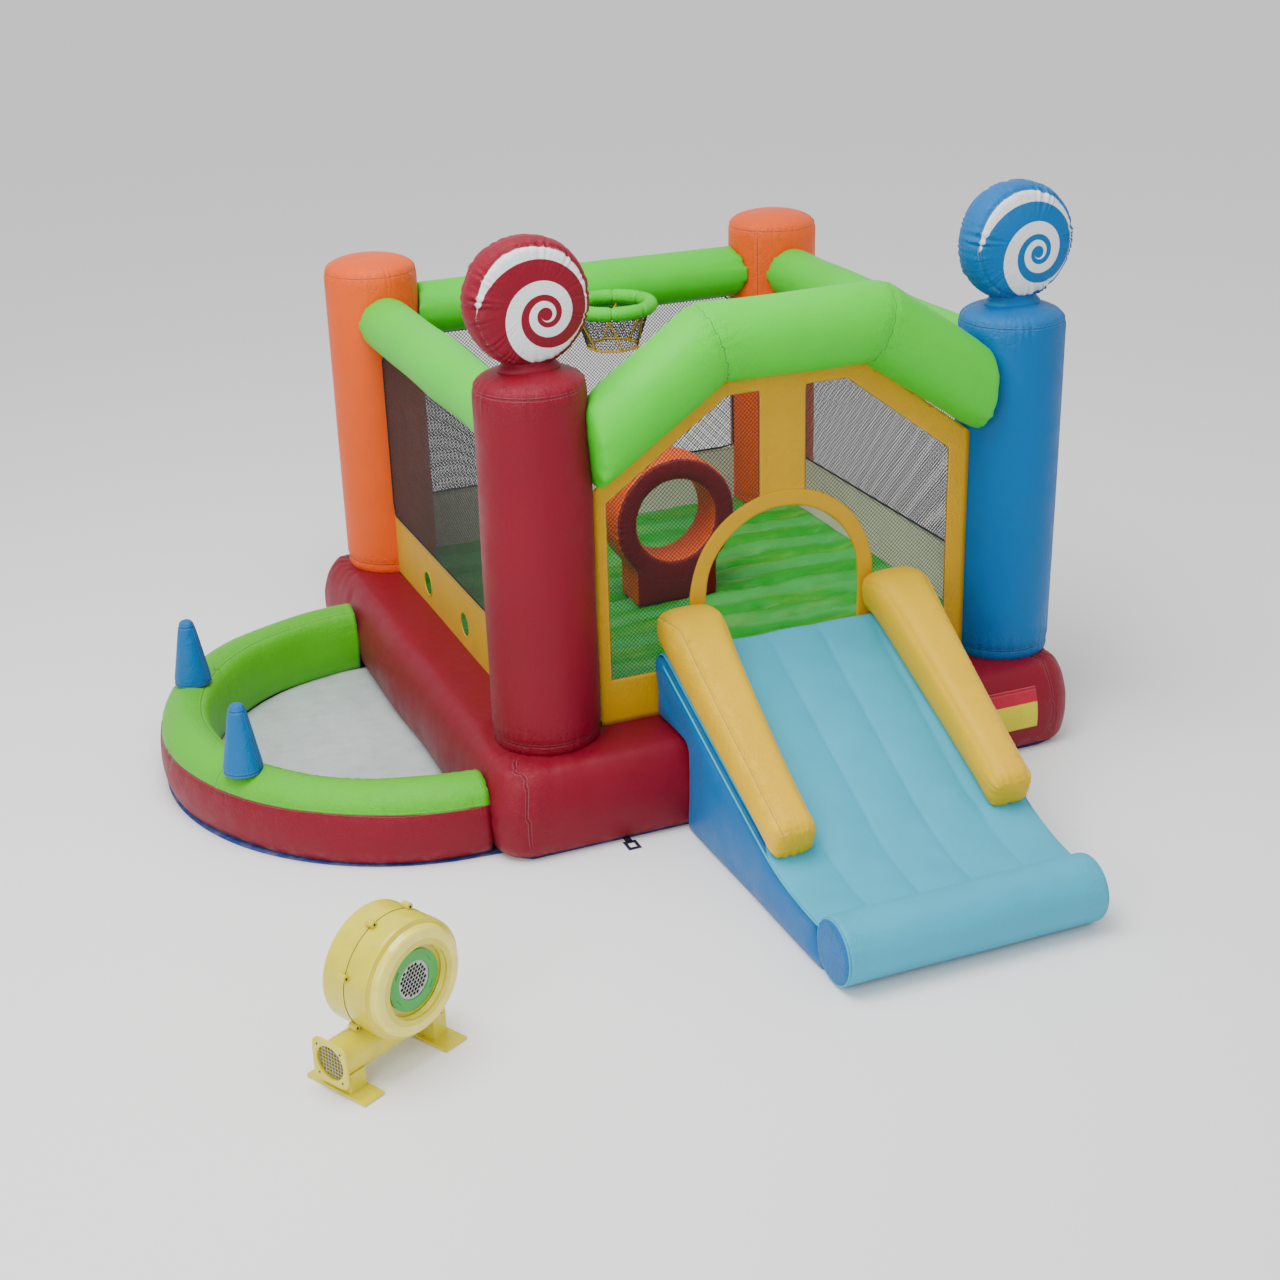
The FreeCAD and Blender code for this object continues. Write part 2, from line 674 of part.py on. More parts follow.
chamber("slide_rail_left", "Slide left rail", slide_rail_form, 532, 486)
chamber("slide_rail_right", "Slide right rail", slide_rail_form, 1368, 1292)

# ---------------------------------------------------------------- pool

def pool_form(name, inset):
    outer = rod(name + "_disc", f"pool_outer - {inset}", f"pool_height - 2 * {inset}",
                ("-pool_centre_x", "pool_centre_y", f"sheet + {inset}"))
    hole = rod(name + "_hole", f"pool_inner + {inset}", "pool_height + 50",
               ("-pool_centre_x", "pool_centre_y", "-20"))
    trim = 0 if inset == "0" else value("skin")
    return rounded(name, cut(name + "_annulus", outer, hole), value("pool_round") - trim, circle_edge)


pool_skin = cut("pool_skin", pool_form("pool_form", "0"), pool_form("pool_air", "skin"))
left_of_base = box("left_of_base", ("2000", "3000", "600"),
                   ("-base_left - gap - 2000", "pool_centre_y - 1500", "-10"))
pool_half = common("pool_half", pool_skin, left_of_base)
finish("pool_ring", "Pool ring", sectors(
    "pool_ring", pool_half, 9, 90, 180, "pool_outer + 50", "pool_height + 40",
    ("-pool_centre_x", "pool_centre_y", "-10")))


def half_disc(name, radius, bottom, thickness):
    disc = rod(name + "_disc", radius, thickness, ("-pool_centre_x", "pool_centre_y", bottom))
    return common(name, disc, left_of_base)


finish("pool_floor", "Pool floor", half_disc("pool_floor", "pool_inner - gap", "sheet", "skin"))
pool_sheet = half_disc("pool_sheet", "pool_outer + 5", "0", "sheet")
finish("ground_sheet", "Ground sheet", group("ground_sheet", [house_sheet, pool_sheet]))


def cone_form(name, inset, x, y):
    shank = cone(name + "_shank", f"cone_base - {inset}", f"cone_tip - {inset}",
                 f"cone_height - {inset}", (x, y, f"sheet + pool_height + gap + {inset}"))
    tip = ball(name + "_tip", f"cone_tip - {inset}",
               (x, y, "sheet + pool_height + gap + cone_height"))
    return fuse(name, [shank, tip])


cones = []
for name, x, y in (("cone_back", "-1085", "1160"), ("cone_front", "-1070", "290")):
    cones.append(cut(name, cone_form(name + "_form", "0", x, y), cone_form(name + "_air", "skin", x, y)))
finish("pool_cones", "Pool cones", group("pool_cones", cones))

# ---------------------------------------------------------------- tunnel ring and hoop

def tunnel_form(name, inset):
    disc = rod(name + "_disc", f"tunnel_outer - {inset}", f"tunnel_depth - 2 * {inset}",
               ("tunnel_x", f"tunnel_y - tunnel_depth / 2 + {inset}", "tunnel_z"), ALONG_Y)
    hole = rod(name + "_hole", f"tunnel_inner + {inset}", "2 * tunnel_depth",
               ("tunnel_x", "tunnel_y - tunnel_depth", "tunnel_z"), ALONG_Y)
    return cut(name, disc, hole)


tunnel_skin = cut("tunnel_skin", tunnel_form("tunnel_form", "0"), tunnel_form("tunnel_air", "skin"))
finish("tunnel_ring", "Crawl-through ring", sectors(
    "tunnel_ring", tunnel_skin, 8, 0, 360, "tunnel_outer + 50", "2 * tunnel_depth",
    ("tunnel_x", "tunnel_y - tunnel_depth", "tunnel_z"), ALONG_Y))


def tunnel_block(name, inset):
    block = box(name + "_box", (f"tunnel_foot - 2 * {inset}", f"tunnel_depth - 2 * {inset}",
                                "tunnel_z - post_foot - 60"),
                (f"tunnel_x - tunnel_foot / 2 + {inset}",
                 f"tunnel_y - tunnel_depth / 2 + {inset}", f"post_foot + {inset}"))
    ring_space = rod(name + "_ring", f"tunnel_outer + gap + {inset}", "2 * tunnel_depth",
                     ("tunnel_x", "tunnel_y - tunnel_depth", "tunnel_z"), ALONG_Y)
    return cut(name, block, ring_space)


chamber("tunnel_foot", "Block under the ring", tunnel_block)

hoop_parts = []
for k in range(8):
    rings = []
    for suffix, thinner in (("form", "0"), ("air", "skin")):
        torus = doc.addObject("Part::Torus", f"hoop_{suffix}{k + 1}")
        bind(torus, Radius1="hoop_radius", Radius2=f"hoop_tube - {thinner}", Angle3="45")
        seat(torus, "hoop_x", "hoop_y", "hoop_z", Rotation(Vector(0, 0, 1), 45 * k))
        rings.append(torus)
    hoop_parts.append(cut(f"hoop_part{k + 1}", *rings))
finish("hoop", "Basket hoop", group("hoop", hoop_parts))

net_parts = []
for k in range(8):
    turn = Rotation(Vector(0, 0, 1), 45 * k) * Rotation(Vector(1, 0, 0), 180)
    start = ("hoop_x", "hoop_y", "hoop_z - hoop_tube - gap")
    outside = cone(f"hoop_net_out{k + 1}", "hoop_radius", "hoop_net_end", "hoop_net_drop",
                   start, turn, 45)
    inside = cone(f"hoop_net_in{k + 1}", "hoop_radius - net_thick", "hoop_net_end - net_thick",
                  "hoop_net_drop", start, turn, 45)
    net_parts.append(cut(f"hoop_net{k + 1}", outside, inside))
finish("hoop_net", "Basket net", group("hoop_net", net_parts))

# ---------------------------------------------------------------- small fittings

loops = []
for k, (x, y) in enumerate((("150", "-base_front - gap - 62"), ("1700", "-base_front - gap - 62"),
                            ("150", "post_pitch_y + base_back + gap"),
                            ("1700", "post_pitch_y + base_back + gap")), start=1):
    loops.append(box(f"loop{k}_left", ("12", "62", "skin"), (x, y, "sheet")))
    loops.append(box(f"loop{k}_right", ("12", "62", "skin"), (f"{x} + 38", y, "sheet")))
    loops.append(box(f"loop{k}_near", ("26", "14", "skin"), (f"{x} + 12", y, "sheet")))
    loops.append(box(f"loop{k}_far", ("26", "14", "skin"), (f"{x} + 12", f"{y} + 48", "sheet")))
finish("anchor_loops", "Anchor loops", group("anchor_loops", loops))

finish("label_patch", "Blank patch", box(
    "label_patch", ("250", "1", "130"), ("1650", "-base_front - 1", "104")))

sleeve_start = ("sleeve_x", "post_pitch_y + base_back", "sleeve_radius + sheet + 2")
sleeve_parts = []
tie_parts = []
for k in range(8):
    turn = ALONG_Y * Rotation(Vector(0, 0, 1), 45 * k)
    tube = rod(f"sleeve_out{k + 1}", "sleeve_radius", "sleeve_length", sleeve_start, turn, 45)
    inside = rod(f"sleeve_in{k + 1}", "sleeve_radius - skin", "sleeve_length", sleeve_start, turn, 45)
    sleeve_parts.append(cut(f"sleeve_part{k + 1}", tube, inside))
    band_start = (sleeve_start[0], sleeve_start[1] + " + 190", sleeve_start[2])
    strap = rod(f"tie_out{k + 1}", "sleeve_radius + skin", "25", band_start, turn, 45)
    inner = rod(f"tie_in{k + 1}", "sleeve_radius", "25", band_start, turn, 45)
    tie_parts.append(cut(f"tie_part{k + 1}", strap, inner))
finish("air_sleeve", "Inflation sleeve", group("air_sleeve", sleeve_parts))
finish("sleeve_tie", "Sleeve tie strap", group("sleeve_tie", tie_parts))

back_face = "post_pitch_y + base_back"
zip_tape = box("zip_tape", ("zip_length", "1", "40"), ("zip_x", back_face, "zip_height - 20"))
zip_teeth = box("zip_teeth", ("zip_length - 10", "1.5", "6"),
                ("zip_x + 5", back_face + " + 1", "zip_height - 3"))
finish("zip", "Deflation zip", group("zip", [zip_tape, zip_teeth]))
finish("zip_slider", "Deflation zip slider", box(
    "zip_slider", ("18", "4", "12"), ("zip_x + 8", back_face + " + 2.8", "zip_height - 6")))

# ---------------------------------------------------------------- blower, in its own axes

def housing_form(name, inset):
    drum = rod(name + "_drum", f"drum_radius - {inset}", f"2 * (drum_half - {inset})",
               ("0", f"{inset} - drum_half", "drum_height"), ALONG_Y)
    nozzle = rod(name + "_nozzle", f"nozzle_radius - {inset}", "nozzle_reach",
                 ("-nozzle_reach", "0", "nozzle_height"), ALONG_X)
    return fuse(name, [drum, nozzle])


housing_solid = cut("housing_shell", housing_form("housing_form", "0"),
                    housing_form("housing_air", "housing_wall"))
collar = cut("collar", cone("collar_cone", "collar_radius - 20", "collar_radius", "collar_rise",
                            ("0", "-drum_half - collar_rise", "drum_height"), ALONG_Y),
             rod("collar_hole", "collar_bore", "200", ("0", "-drum_half - 100", "drum_height"),
                 ALONG_Y))
intake_bore = rod("intake_bore", "intake_radius", "120", ("0", "-drum_half - 60", "drum_height"),
                  ALONG_Y)
lugs = []
lug_holes = []
screws = []
for k, angle in enumerate((65, 108, 160, 215, 290, 330), start=1):
    x = f"lug_circle * cos({angle} deg)"
    z = f"drum_height + lug_circle * sin({angle} deg)"
    lugs.append(rod(f"lug{k}", "lug_radius", "30", (x, "-15", z), ALONG_Y))
    lug_holes.append(rod(f"lug_hole{k}", "4", "60", (x, "-30", z), ALONG_Y))
    screws.append(rod(f"lug_screw{k}", "3.6", "32", (x, "-16.5", z), ALONG_Y))
drum_bore = rod("drum_bore", "drum_radius - housing_wall", "100", ("0", "-50", "drum_height"), ALONG_Y)
lug_ring = cut("lug_ring", fuse("lug_set", lugs), fuse("lug_clear", [drum_bore] + lug_holes))
flange = cut("flange", rod("flange_disc", "nozzle_radius + 8", "6",
                           ("-nozzle_reach", "0", "nozzle_height"), ALONG_X),
             rod("flange_hole", "nozzle_radius - housing_wall", "40",
                 ("-nozzle_reach - 20", "0", "nozzle_height"), ALONG_X))
whole_housing = cut("housing_whole", fuse("housing_sum", [housing_solid, collar, lug_ring, flange]),
                    intake_bore)
front_space = box("front_space", ("900", "400", "900"), ("-450", "-400", "-50"))
back_space = box("back_space", ("900", "400", "900"), ("-450", "0", "-50"))
finish_blower("housing_front", "Blower housing, front half",
              common("housing_front", whole_housing, front_space))
finish_blower("housing_back", "Blower housing, back half",
              common("housing_back", whole_housing, back_space))
finish_blower("housing_screws", "Blower housing screws", group("housing_screws", screws))

finish_blower("intake_ring", "Blower intake ring", cut(
    "intake_ring",
    rod("intake_disc", "intake_radius + 12", "8", ("0", "-drum_half - 8", "drum_height"), ALONG_Y),
    rod("intake_hole", "guard_radius", "40", ("0", "-drum_half - 30", "drum_height"), ALONG_Y)))

guard = doc.addObject("PartDesign::Body", "intake_guard")
plane = [item for item in guard.Origin.OriginFeatures if item.Role == "XZ_Plane"]
disc = guard.newObject("Sketcher::SketchObject", "guard_circle")
disc.AttachmentSupport = [(plane[0], "")]
disc.MapMode = "FlatFace"
disc.addGeometry(Part.Circle(Vector(0, 0, 0), Vector(0, 0, 1), 60), False)
disc.addConstraint(Sketcher.Constraint("Coincident", 0, 3, -1, 1))
rim = disc.addConstraint(Sketcher.Constraint("Radius", 0, 60))
disc.setExpression(f"Constraints[{rim}]", e("guard_radius - 0.4"))
guard_pad = guard.newObject("PartDesign::Pad", "guard_pad")
guard_pad.Profile = disc
guard_pad.Length = 3
cells = guard.newObject("Sketcher::SketchObject", "guard_cells")
cells.AttachmentSupport = [(plane[0], "")]
cells.MapMode = "FlatFace"
pitch = 13.5
for row in range(-5, 6):
    for column in range(-5, 6):
        middle_x = (column + 0.5 * (row % 2)) * pitch
        middle_z = row * pitch * math.sin(math.radians(60))
        if math.hypot(middle_x, middle_z) > value("guard_radius") - 12:
            continue
        ring_points = []
        for k in range(7):
            turn = math.radians(30 + 60 * k)
            ring_points.append(Vector(middle_x + 6.6 * math.cos(turn),
                                      middle_z + 6.6 * math.sin(turn), 0))
        for a, b in zip(ring_points, ring_points[1:]):
            cells.addGeometry(Part.LineSegment(a, b), False)
guard_cut = guard.newObject("PartDesign::Pocket", "guard_cut")
guard_cut.Profile = cells
guard_cut.Type = 1
guard_cut.Midplane = True
guard.Tip = guard_cut
guard_seat = doc.addObject("Part::Compound", "guard_seat")
guard_seat.Links = [guard]
seat(guard, "0", "-drum_half - 1.5", "drum_height")
finish_blower("intake_guard", "Blower intake guard", guard_seat)

wires = []
for k in range(-4, 5):
    wires.append(box(f"wire_up{k + 5}", ("1.6", "1.6", "160"),
                     ("-nozzle_reach + 4", f"{k} * 12.5 - 0.8", "nozzle_height - 80")))
    wires.append(box(f"wire_across{k + 5}", ("1.6", "160", "1.6"),
                     ("-nozzle_reach + 4", "-80", f"nozzle_height + {k} * 12.5 - 0.8")))
finish_blower("outlet_guard", "Blower outlet guard", common(
    "outlet_guard", fuse("wire_grid", wires),
    rod("wire_limit", "nozzle_radius - housing_wall - 0.3", "20",
        ("-nozzle_reach - 5", "0", "nozzle_height"), ALONG_X)))


def foot(name, x, width, web_x, web_width, web_height):
    plate = box(name + "_plate", (width, "250", "9"), (x, "-125", "0"))
    web = box(name + "_web", (web_width, "120", web_height), (web_x, "-60", "5"))
    clear = fuse(name + "_clear", [
        rod(name + "_drum", "drum_radius + 0.3", "600", ("0", "-300", "drum_height"), ALONG_Y),
        rod(name + "_tube", "nozzle_radius + 0.3", "600", ("-nozzle_reach - 200", "0", "nozzle_height"),
            ALONG_X),
        rod(name + "_rim", "nozzle_radius + 8.3", "8", ("-nozzle_reach - 1", "0", "nozzle_height"),
            ALONG_X)])
    return cut(name, fuse(name + "_sum", [plate, web]), clear)


finish_blower("blower_feet", "Blower feet", group("blower_feet", [
    foot("foot_left", "-nozzle_reach + 8", "80", "-nozzle_reach + 18", "60", "70"),
    foot("foot_right", "80", "90", "95", "55", "160")]))

motor_can = cut(
    "motor_body", rod("motor_can", "motor_radius", "64", ("0", "20", "drum_height"), ALONG_Y),
    rod("motor_bore", "shaft_radius + 0.4", "34", ("0", "19", "drum_height"), ALONG_Y))
motor_plate = rod("motor_plate", "motor_radius + 14", "3", ("0", "84", "drum_height"), ALONG_Y)
finish_blower("motor", "Blower motor", fuse("motor", [motor_can, motor_plate]))
finish_blower("fan_shaft", "Fan shaft", rod(
    "fan_shaft", "shaft_radius", "108", ("0", "-60", "drum_height"), ALONG_Y))

fan = doc.addObject("PartDesign::Body", "fan")
plane = [item for item in fan.Origin.OriginFeatures if item.Role == "XZ_Plane"]


def fan_pad(name, circles, length):
    sketch = fan.newObject("Sketcher::SketchObject", name + "_circles")
    sketch.AttachmentSupport = [(plane[0], "")]
    sketch.MapMode = "FlatFace"
    for k, formula in enumerate(circles):
        sketch.addGeometry(Part.Circle(Vector(0, 0, 0), Vector(0, 0, 1), 30 + k), False)
        sketch.addConstraint(Sketcher.Constraint("Coincident", k, 3, -1, 1))
        size = sketch.addConstraint(Sketcher.Constraint("Radius", k, 30 + k))
        sketch.setExpression(f"Constraints[{size}]", e(formula))
    item = fan.newObject("PartDesign::Pad", name)
    item.Profile = sketch
    item.Length = length
    return item


fan_pad("fan_plate", ("fan_radius", "shaft_radius + 0.02"), 3)
fan_pad("fan_hub", ("shaft_radius + 12", "shaft_radius + 0.02"), 36)
blade_sketch = outline(fan, "fan_blade_outline", "XZ_Plane", (
    ("fan_eye", "-2"), ("fan_radius - 2", "18"), ("fan_radius - 2", "21"), ("fan_eye", "1")))
blade = fan.newObject("PartDesign::Pad", "fan_blade")
blade.Profile = blade_sketch
blade.Length = 60
around = fan.newObject("PartDesign::PolarPattern", "fan_blades")
around.Originals = [blade]
around.Axis = (blade_sketch, ["N_Axis"])
around.Angle = 360
around.setExpression("Occurrences", e("fan_blades"))
fan.Tip = around
seat(fan, "0", "-15", "drum_height")
fan_seat = group("fan_seat", [fan])
finish_blower("fan", "Blower fan", fan_seat)

finish_blower("switch_frame", "Switch frame", cut(
    "switch_frame", box("switch_box", ("34", "5", "24"), ("93", "drum_half", "drum_height + 28")),
    box("switch_hole", ("26", "20", "16"), ("97", "drum_half - 5", "drum_height + 32"))))
finish_blower("switch_rocker", "Switch rocker", box(
    "switch_rocker", ("24.8", "6", "14.6"), ("97.6", "drum_half + 1.2", "drum_height + 32.7")))
finish_blower("cord_gland", "Cord gland", rod(
    "cord_gland", "8", "20", ("120", "drum_half", "drum_height - 70"), ALONG_Y))

# ---------------------------------------------------------------- check and write

doc.recompute()
faults = []
for item in doc.Objects:
    if "Invalid" in item.State or "Error" in item.State:
        faults.append(f"{item.Name}: {item.State}")
for name, item in PIECES.items():
    if item.Shape.isNull() or not item.Shape.isValid() or not item.Shape.Solids:
        faults.append(f"{name}: no valid solid")
if faults:
    raise RuntimeError("; ".join(faults))

os.makedirs("parts", exist_ok=True)
for name, item in PIECES.items():
    item.Shape.exportStep(f"parts/{name}.step")
print(f"{len(PIECES)} pieces written")
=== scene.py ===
import math

import bmesh
import bpy
import numpy as np
from mathutils import Matrix, Vector


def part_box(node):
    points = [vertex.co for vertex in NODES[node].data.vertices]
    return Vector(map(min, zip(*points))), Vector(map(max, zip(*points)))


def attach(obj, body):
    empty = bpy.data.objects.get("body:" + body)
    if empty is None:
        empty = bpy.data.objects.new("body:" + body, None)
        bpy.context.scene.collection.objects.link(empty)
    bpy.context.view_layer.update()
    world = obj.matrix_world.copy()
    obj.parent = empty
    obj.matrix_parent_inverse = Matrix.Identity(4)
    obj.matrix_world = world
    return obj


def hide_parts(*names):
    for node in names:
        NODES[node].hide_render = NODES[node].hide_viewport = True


bl_info = {
    "name": "Bounce House",
    "version": (1, 0, 0),
    "blender": (4, 5, 0),
    "location": "View3D > Sidebar > Bounce House",
    "description": "Sews the chambers, nets, slide, pool and blower of an inflatable bounce house round its frame",
    "category": "Object",
}

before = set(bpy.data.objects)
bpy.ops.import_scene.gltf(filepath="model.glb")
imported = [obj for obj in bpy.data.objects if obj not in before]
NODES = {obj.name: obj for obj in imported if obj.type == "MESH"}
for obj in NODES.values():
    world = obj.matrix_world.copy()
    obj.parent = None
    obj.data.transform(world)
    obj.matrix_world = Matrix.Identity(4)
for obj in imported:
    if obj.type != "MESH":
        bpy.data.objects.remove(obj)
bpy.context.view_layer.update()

# Lengths are in metres. Chambers are laid out from the axis of the front left post,
# and moved to their place in the frame when they are finished.


def middle(node):
    low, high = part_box(node)
    return (low + high) / 2


ORIGIN = Vector((middle("post_front_left").x, middle("post_front_left").y, 0.0))
PITCH_X = middle("post_front_right").x - ORIGIN.x
PITCH_Y = middle("post_back_left").y - ORIGIN.y
BASE_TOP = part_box("base_left")[1].z


def local_box(node):
    """Lowest and highest corner of a node, from the axis of the front left post."""
    low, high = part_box(node)
    return low - ORIGIN, high - ORIGIN


# Selecting, shaping and finishing


def only(*objects):
    """Select these objects alone and make the first one active."""
    if bpy.context.object is not None and bpy.context.object.mode != "OBJECT":
        bpy.ops.object.mode_set(mode="OBJECT")
    bpy.ops.object.select_all(action="DESELECT")
    for o in objects:
        o.select_set(True)
    bpy.context.view_layer.objects.active = objects[0]


def nothing_selected():
    bpy.ops.object.select_all(action="DESELECT")


def points_of(o):
    co = np.zeros(len(o.data.vertices) * 3)
    o.data.vertices.foreach_get("co", co)
    return co.reshape(-1, 3)


def set_points(o, co):
    o.data.vertices.foreach_set("co", np.asarray(co, float).ravel())
    o.data.update()


def normals_of(o):
    n = np.zeros(len(o.data.vertices) * 3)
    o.data.vertices.foreach_get("normal", n)
    return n.reshape(-1, 3)


def apply(o, kind, **settings):
    """Add a modifier with these settings and apply it."""
    only(o)
    m = o.modifiers.new(kind.lower(), kind)
    for key, v in settings.items():
        setattr(m, key, v)
    bpy.ops.object.modifier_apply(modifier=m.name)


def subdivide(o):
    apply(o, "SUBSURF", levels=1, render_levels=1)


def merge(o, distance=1e-5):
    """Join points that meet and turn the faces outwards."""
    only(o)
    bpy.ops.object.mode_set(mode="EDIT")
    bpy.ops.mesh.select_all(action="SELECT")
    bpy.ops.mesh.remove_doubles(threshold=distance)
    bpy.ops.mesh.normals_make_consistent(inside=False)
    bpy.ops.object.mode_set(mode="OBJECT")


def close_ends(o):
    """Fill the open ends of a sleeve and turn its faces outwards."""
    only(o)
    bpy.ops.object.mode_set(mode="EDIT")
    bpy.ops.mesh.select_all(action="SELECT")
    bpy.ops.mesh.remove_doubles(threshold=1e-5)
    bpy.ops.mesh.select_all(action="SELECT")
    bpy.ops.mesh.fill_holes(sides=0)
    bpy.ops.mesh.select_all(action="SELECT")
    bpy.ops.mesh.normals_make_consistent(inside=False)
    bpy.ops.object.mode_set(mode="OBJECT")


def joined(name, *objects):
    only(*objects)
    if len(objects) > 1:
        bpy.ops.object.join()
    o = bpy.context.object
    o.name = name
    return o


def grid(name, across, along, place):
    """Sheet of across by along cells; place(u, v) gives the points for u and v from 0 to 1."""
    nothing_selected()
    bpy.ops.mesh.primitive_grid_add(x_subdivisions=across, y_subdivisions=along, size=2)
    o = bpy.context.object
    o.name = name
    co = points_of(o)
    set_points(o, place((co[:, 0] + 1) / 2, (co[:, 1] + 1) / 2))
    return o


def swept(name, rings, around=False):
    """Sleeve through closed rings of points; around joins the last ring to the first."""
    rings = np.asarray(rings, float)
    if around:
        rings = np.concatenate([rings, rings[:1]])
    rings = np.concatenate([rings, rings[:, :1]], axis=1)
    along, across = rings.shape[0] - 1, rings.shape[1] - 1

    def place(u, v):
        return rings[np.rint(v * along).astype(int), np.rint(u * across).astype(int)]

    o = grid(name, across, along, place)
    if around:
        merge(o)
    else:
        close_ends(o)
    return o


def turned(name, profile, axis="Z", segments=96):
    """Round piece from a ball whose rings are moved to a profile of (radius, height), lowest first."""
    nothing_selected()
    rings = len(profile) - 1
    bpy.ops.mesh.primitive_uv_sphere_add(segments=segments, ring_count=rings, radius=1)
    o = bpy.context.object
    o.name = name
    co = points_of(o)
    index = rings - np.rint(np.arccos(np.clip(co[:, 2], -1, 1)) / math.pi * rings).astype(int)
    angle = np.arctan2(co[:, 1], co[:, 0])
    shape = np.array(profile, float)
    radius, height = shape[index, 0], shape[index, 1]
    flat = [radius * np.cos(angle), radius * np.sin(angle), height]
    if axis == "Y":
        flat = [flat[0], flat[2], -flat[1]]
    if axis == "X":
        flat = [flat[2], flat[1], -flat[0]]
    set_points(o, np.stack(flat, axis=1))
    merge(o, 1e-6)
    return o


def smooth_line(points, count, closed=False):
    """Even points on a smooth line through the given ones."""
    p = np.array(points, float)
    if closed:
        p = np.concatenate([p[-1:], p, p[:2]])
    else:
        p = np.concatenate([2 * p[:1] - p[1:2], p, 2 * p[-1:] - p[-2:-1]])
    out = []
    for a, b, c, d in zip(p[:-3], p[1:-2], p[2:-1], p[3:]):
        t = np.linspace(0, 1, 24, endpoint=False)[:, None]
        out.append(0.5 * (2 * b + (c - a) * t + (2 * a - 5 * b + 4 * c - d) * t**2
                          + (3 * b - a - 3 * c + d) * t**3))
    line = np.concatenate([*out, p[-2:-1]])
    return even(line, count)


def even(line, count):
    """The same line again with evenly spaced points."""
    line = np.array(line, float)
    steps = np.linalg.norm(np.diff(line, axis=0), axis=1)
    at = np.concatenate([[0], np.cumsum(steps)])
    where = np.linspace(0, at[-1], count)
    return np.stack([np.interp(where, at, line[:, k]) for k in range(line.shape[1])], axis=1)


def rounded_section(half_width, half_height, power, count):
    """Closed outline between an ellipse (power 2) and a box (high power)."""
    t = np.linspace(0, 2 * math.pi, count, endpoint=False)
    c, s = np.cos(t), np.sin(t)
    a = half_width * np.sign(c) * np.abs(c) ** (2 / power)
    b = half_height * np.sign(s) * np.abs(s) ** (2 / power)
    outline = np.stack([a, b], axis=1)
    return even(np.concatenate([outline, outline[:1]]), count + 1)[:-1]


def circle(centre, radius, axis="Z", count=200):
    """Closed ring of points round an axis."""
    t = np.linspace(0, 2 * math.pi, count, endpoint=False)
    c, s, z = np.cos(t) * radius, np.sin(t) * radius, np.zeros(count)
    flat = {"Z": [c, s, z], "Y": [c, z, s], "X": [z, c, s]}[axis]
    return np.stack(flat, axis=1) + np.array(centre, float)


def ring_line(line):
    return np.concatenate([line, line[:1]])


def loop(centre, radius, axis="Z"):
    """Closed line round an axis, for sewing along."""
    return ring_line(circle(centre, radius, axis))


def tube(name, line, radius, sides=8, around=False):
    """Round cord or welt of one radius along a line."""
    line = np.array(line, float)
    ahead = np.roll(line, -1, axis=0) - np.roll(line, 1, axis=0)
    if not around:
        ahead[0], ahead[-1] = line[1] - line[0], line[-1] - line[-2]
    ahead /= np.linalg.norm(ahead, axis=1)[:, None]
    side = np.array([0.31, 0.17, 0.93])
    rings = []
    for p, t in zip(line, ahead):
        side = side - (side @ t) * t
        side /= np.linalg.norm(side)
        other = np.cross(t, side)
        a = np.linspace(0, 2 * math.pi, sides, endpoint=False)[:, None]
        rings.append(p + radius * (np.cos(a) * side + np.sin(a) * other))
    return swept(name, rings, around)


def outer_skin(name, *nodes):
    """Outer skin of hollow chambers as one mesh, from the axis of the front left post."""
    parts = []
    for node in nodes:
        o = bpy.data.objects.new(name, NODES[node].data.copy())
        bpy.context.scene.collection.objects.link(o)
        parts.append(o)
    o = joined(name, *parts)
    o.data.materials.clear()
    bm = bmesh.new()
    bm.from_mesh(o.data)
    bmesh.ops.remove_doubles(bm, verts=bm.verts, dist=1e-5)
    todo, inner = set(bm.verts), []
    while todo:
        island, edge = set(), [next(iter(todo))]
        while edge:
            v = edge.pop()
            if v in island:
                continue
            island.add(v)
            edge += [e.other_vert(v) for e in v.link_edges]
        todo -= island
        faces = {f for v in island for f in v.link_faces}
        volume = 0.0
        for f in faces:
            a = f.verts[0].co
            for b, c in zip(f.verts[1:], f.verts[2:]):
                volume += a.dot(b.co.cross(c.co))
        if volume < 0:
            inner += island
    bmesh.ops.delete(bm, geom=inner, context="VERTS")
    bm.to_mesh(o.data)
    bm.free()
    o.data.transform(Matrix.Translation(-ORIGIN))
    return o


def remesh(o, size):
    """Even cells over the whole skin."""
    apply(o, "REMESH", mode="VOXEL", voxel_size=size, use_smooth_shade=True)


def relax(o, rounds, share=0.5):
    apply(o, "SMOOTH", iterations=rounds, factor=share)


def inflate(o, cap, held, pressure=4.0, frames=20):
    """Fill a chamber with air as cloth under pressure; held points stay and the swell is capped."""
    only(o)
    before = points_of(o)
    m = o.modifiers.new("air", "CLOTH")
    s = m.settings
    s.quality, s.mass, s.air_damping = 4, 0.3, 1.0
    s.effector_weights.gravity = 0.0
    s.use_pressure, s.uniform_pressure_force = True, pressure
    if held.any():
        group = o.vertex_groups.new(name="held")
        group.add([int(i) for i in np.nonzero(held)[0]], 1.0, "REPLACE")
        s.vertex_group_mass = "held"
    m.point_cache.frame_start, m.point_cache.frame_end = 1, frames
    for f in range(1, frames + 1):
        bpy.context.scene.frame_set(f)
    bpy.ops.object.modifier_apply(modifier=m.name)
    bpy.context.scene.frame_set(1)
    o.vertex_groups.clear()
    move = points_of(o) - before
    far = np.linalg.norm(move, axis=1)
    share = cap * np.tanh(far / cap) / np.maximum(far, 1e-9)
    set_points(o, before + move * share[:, None])


SEWN = {}


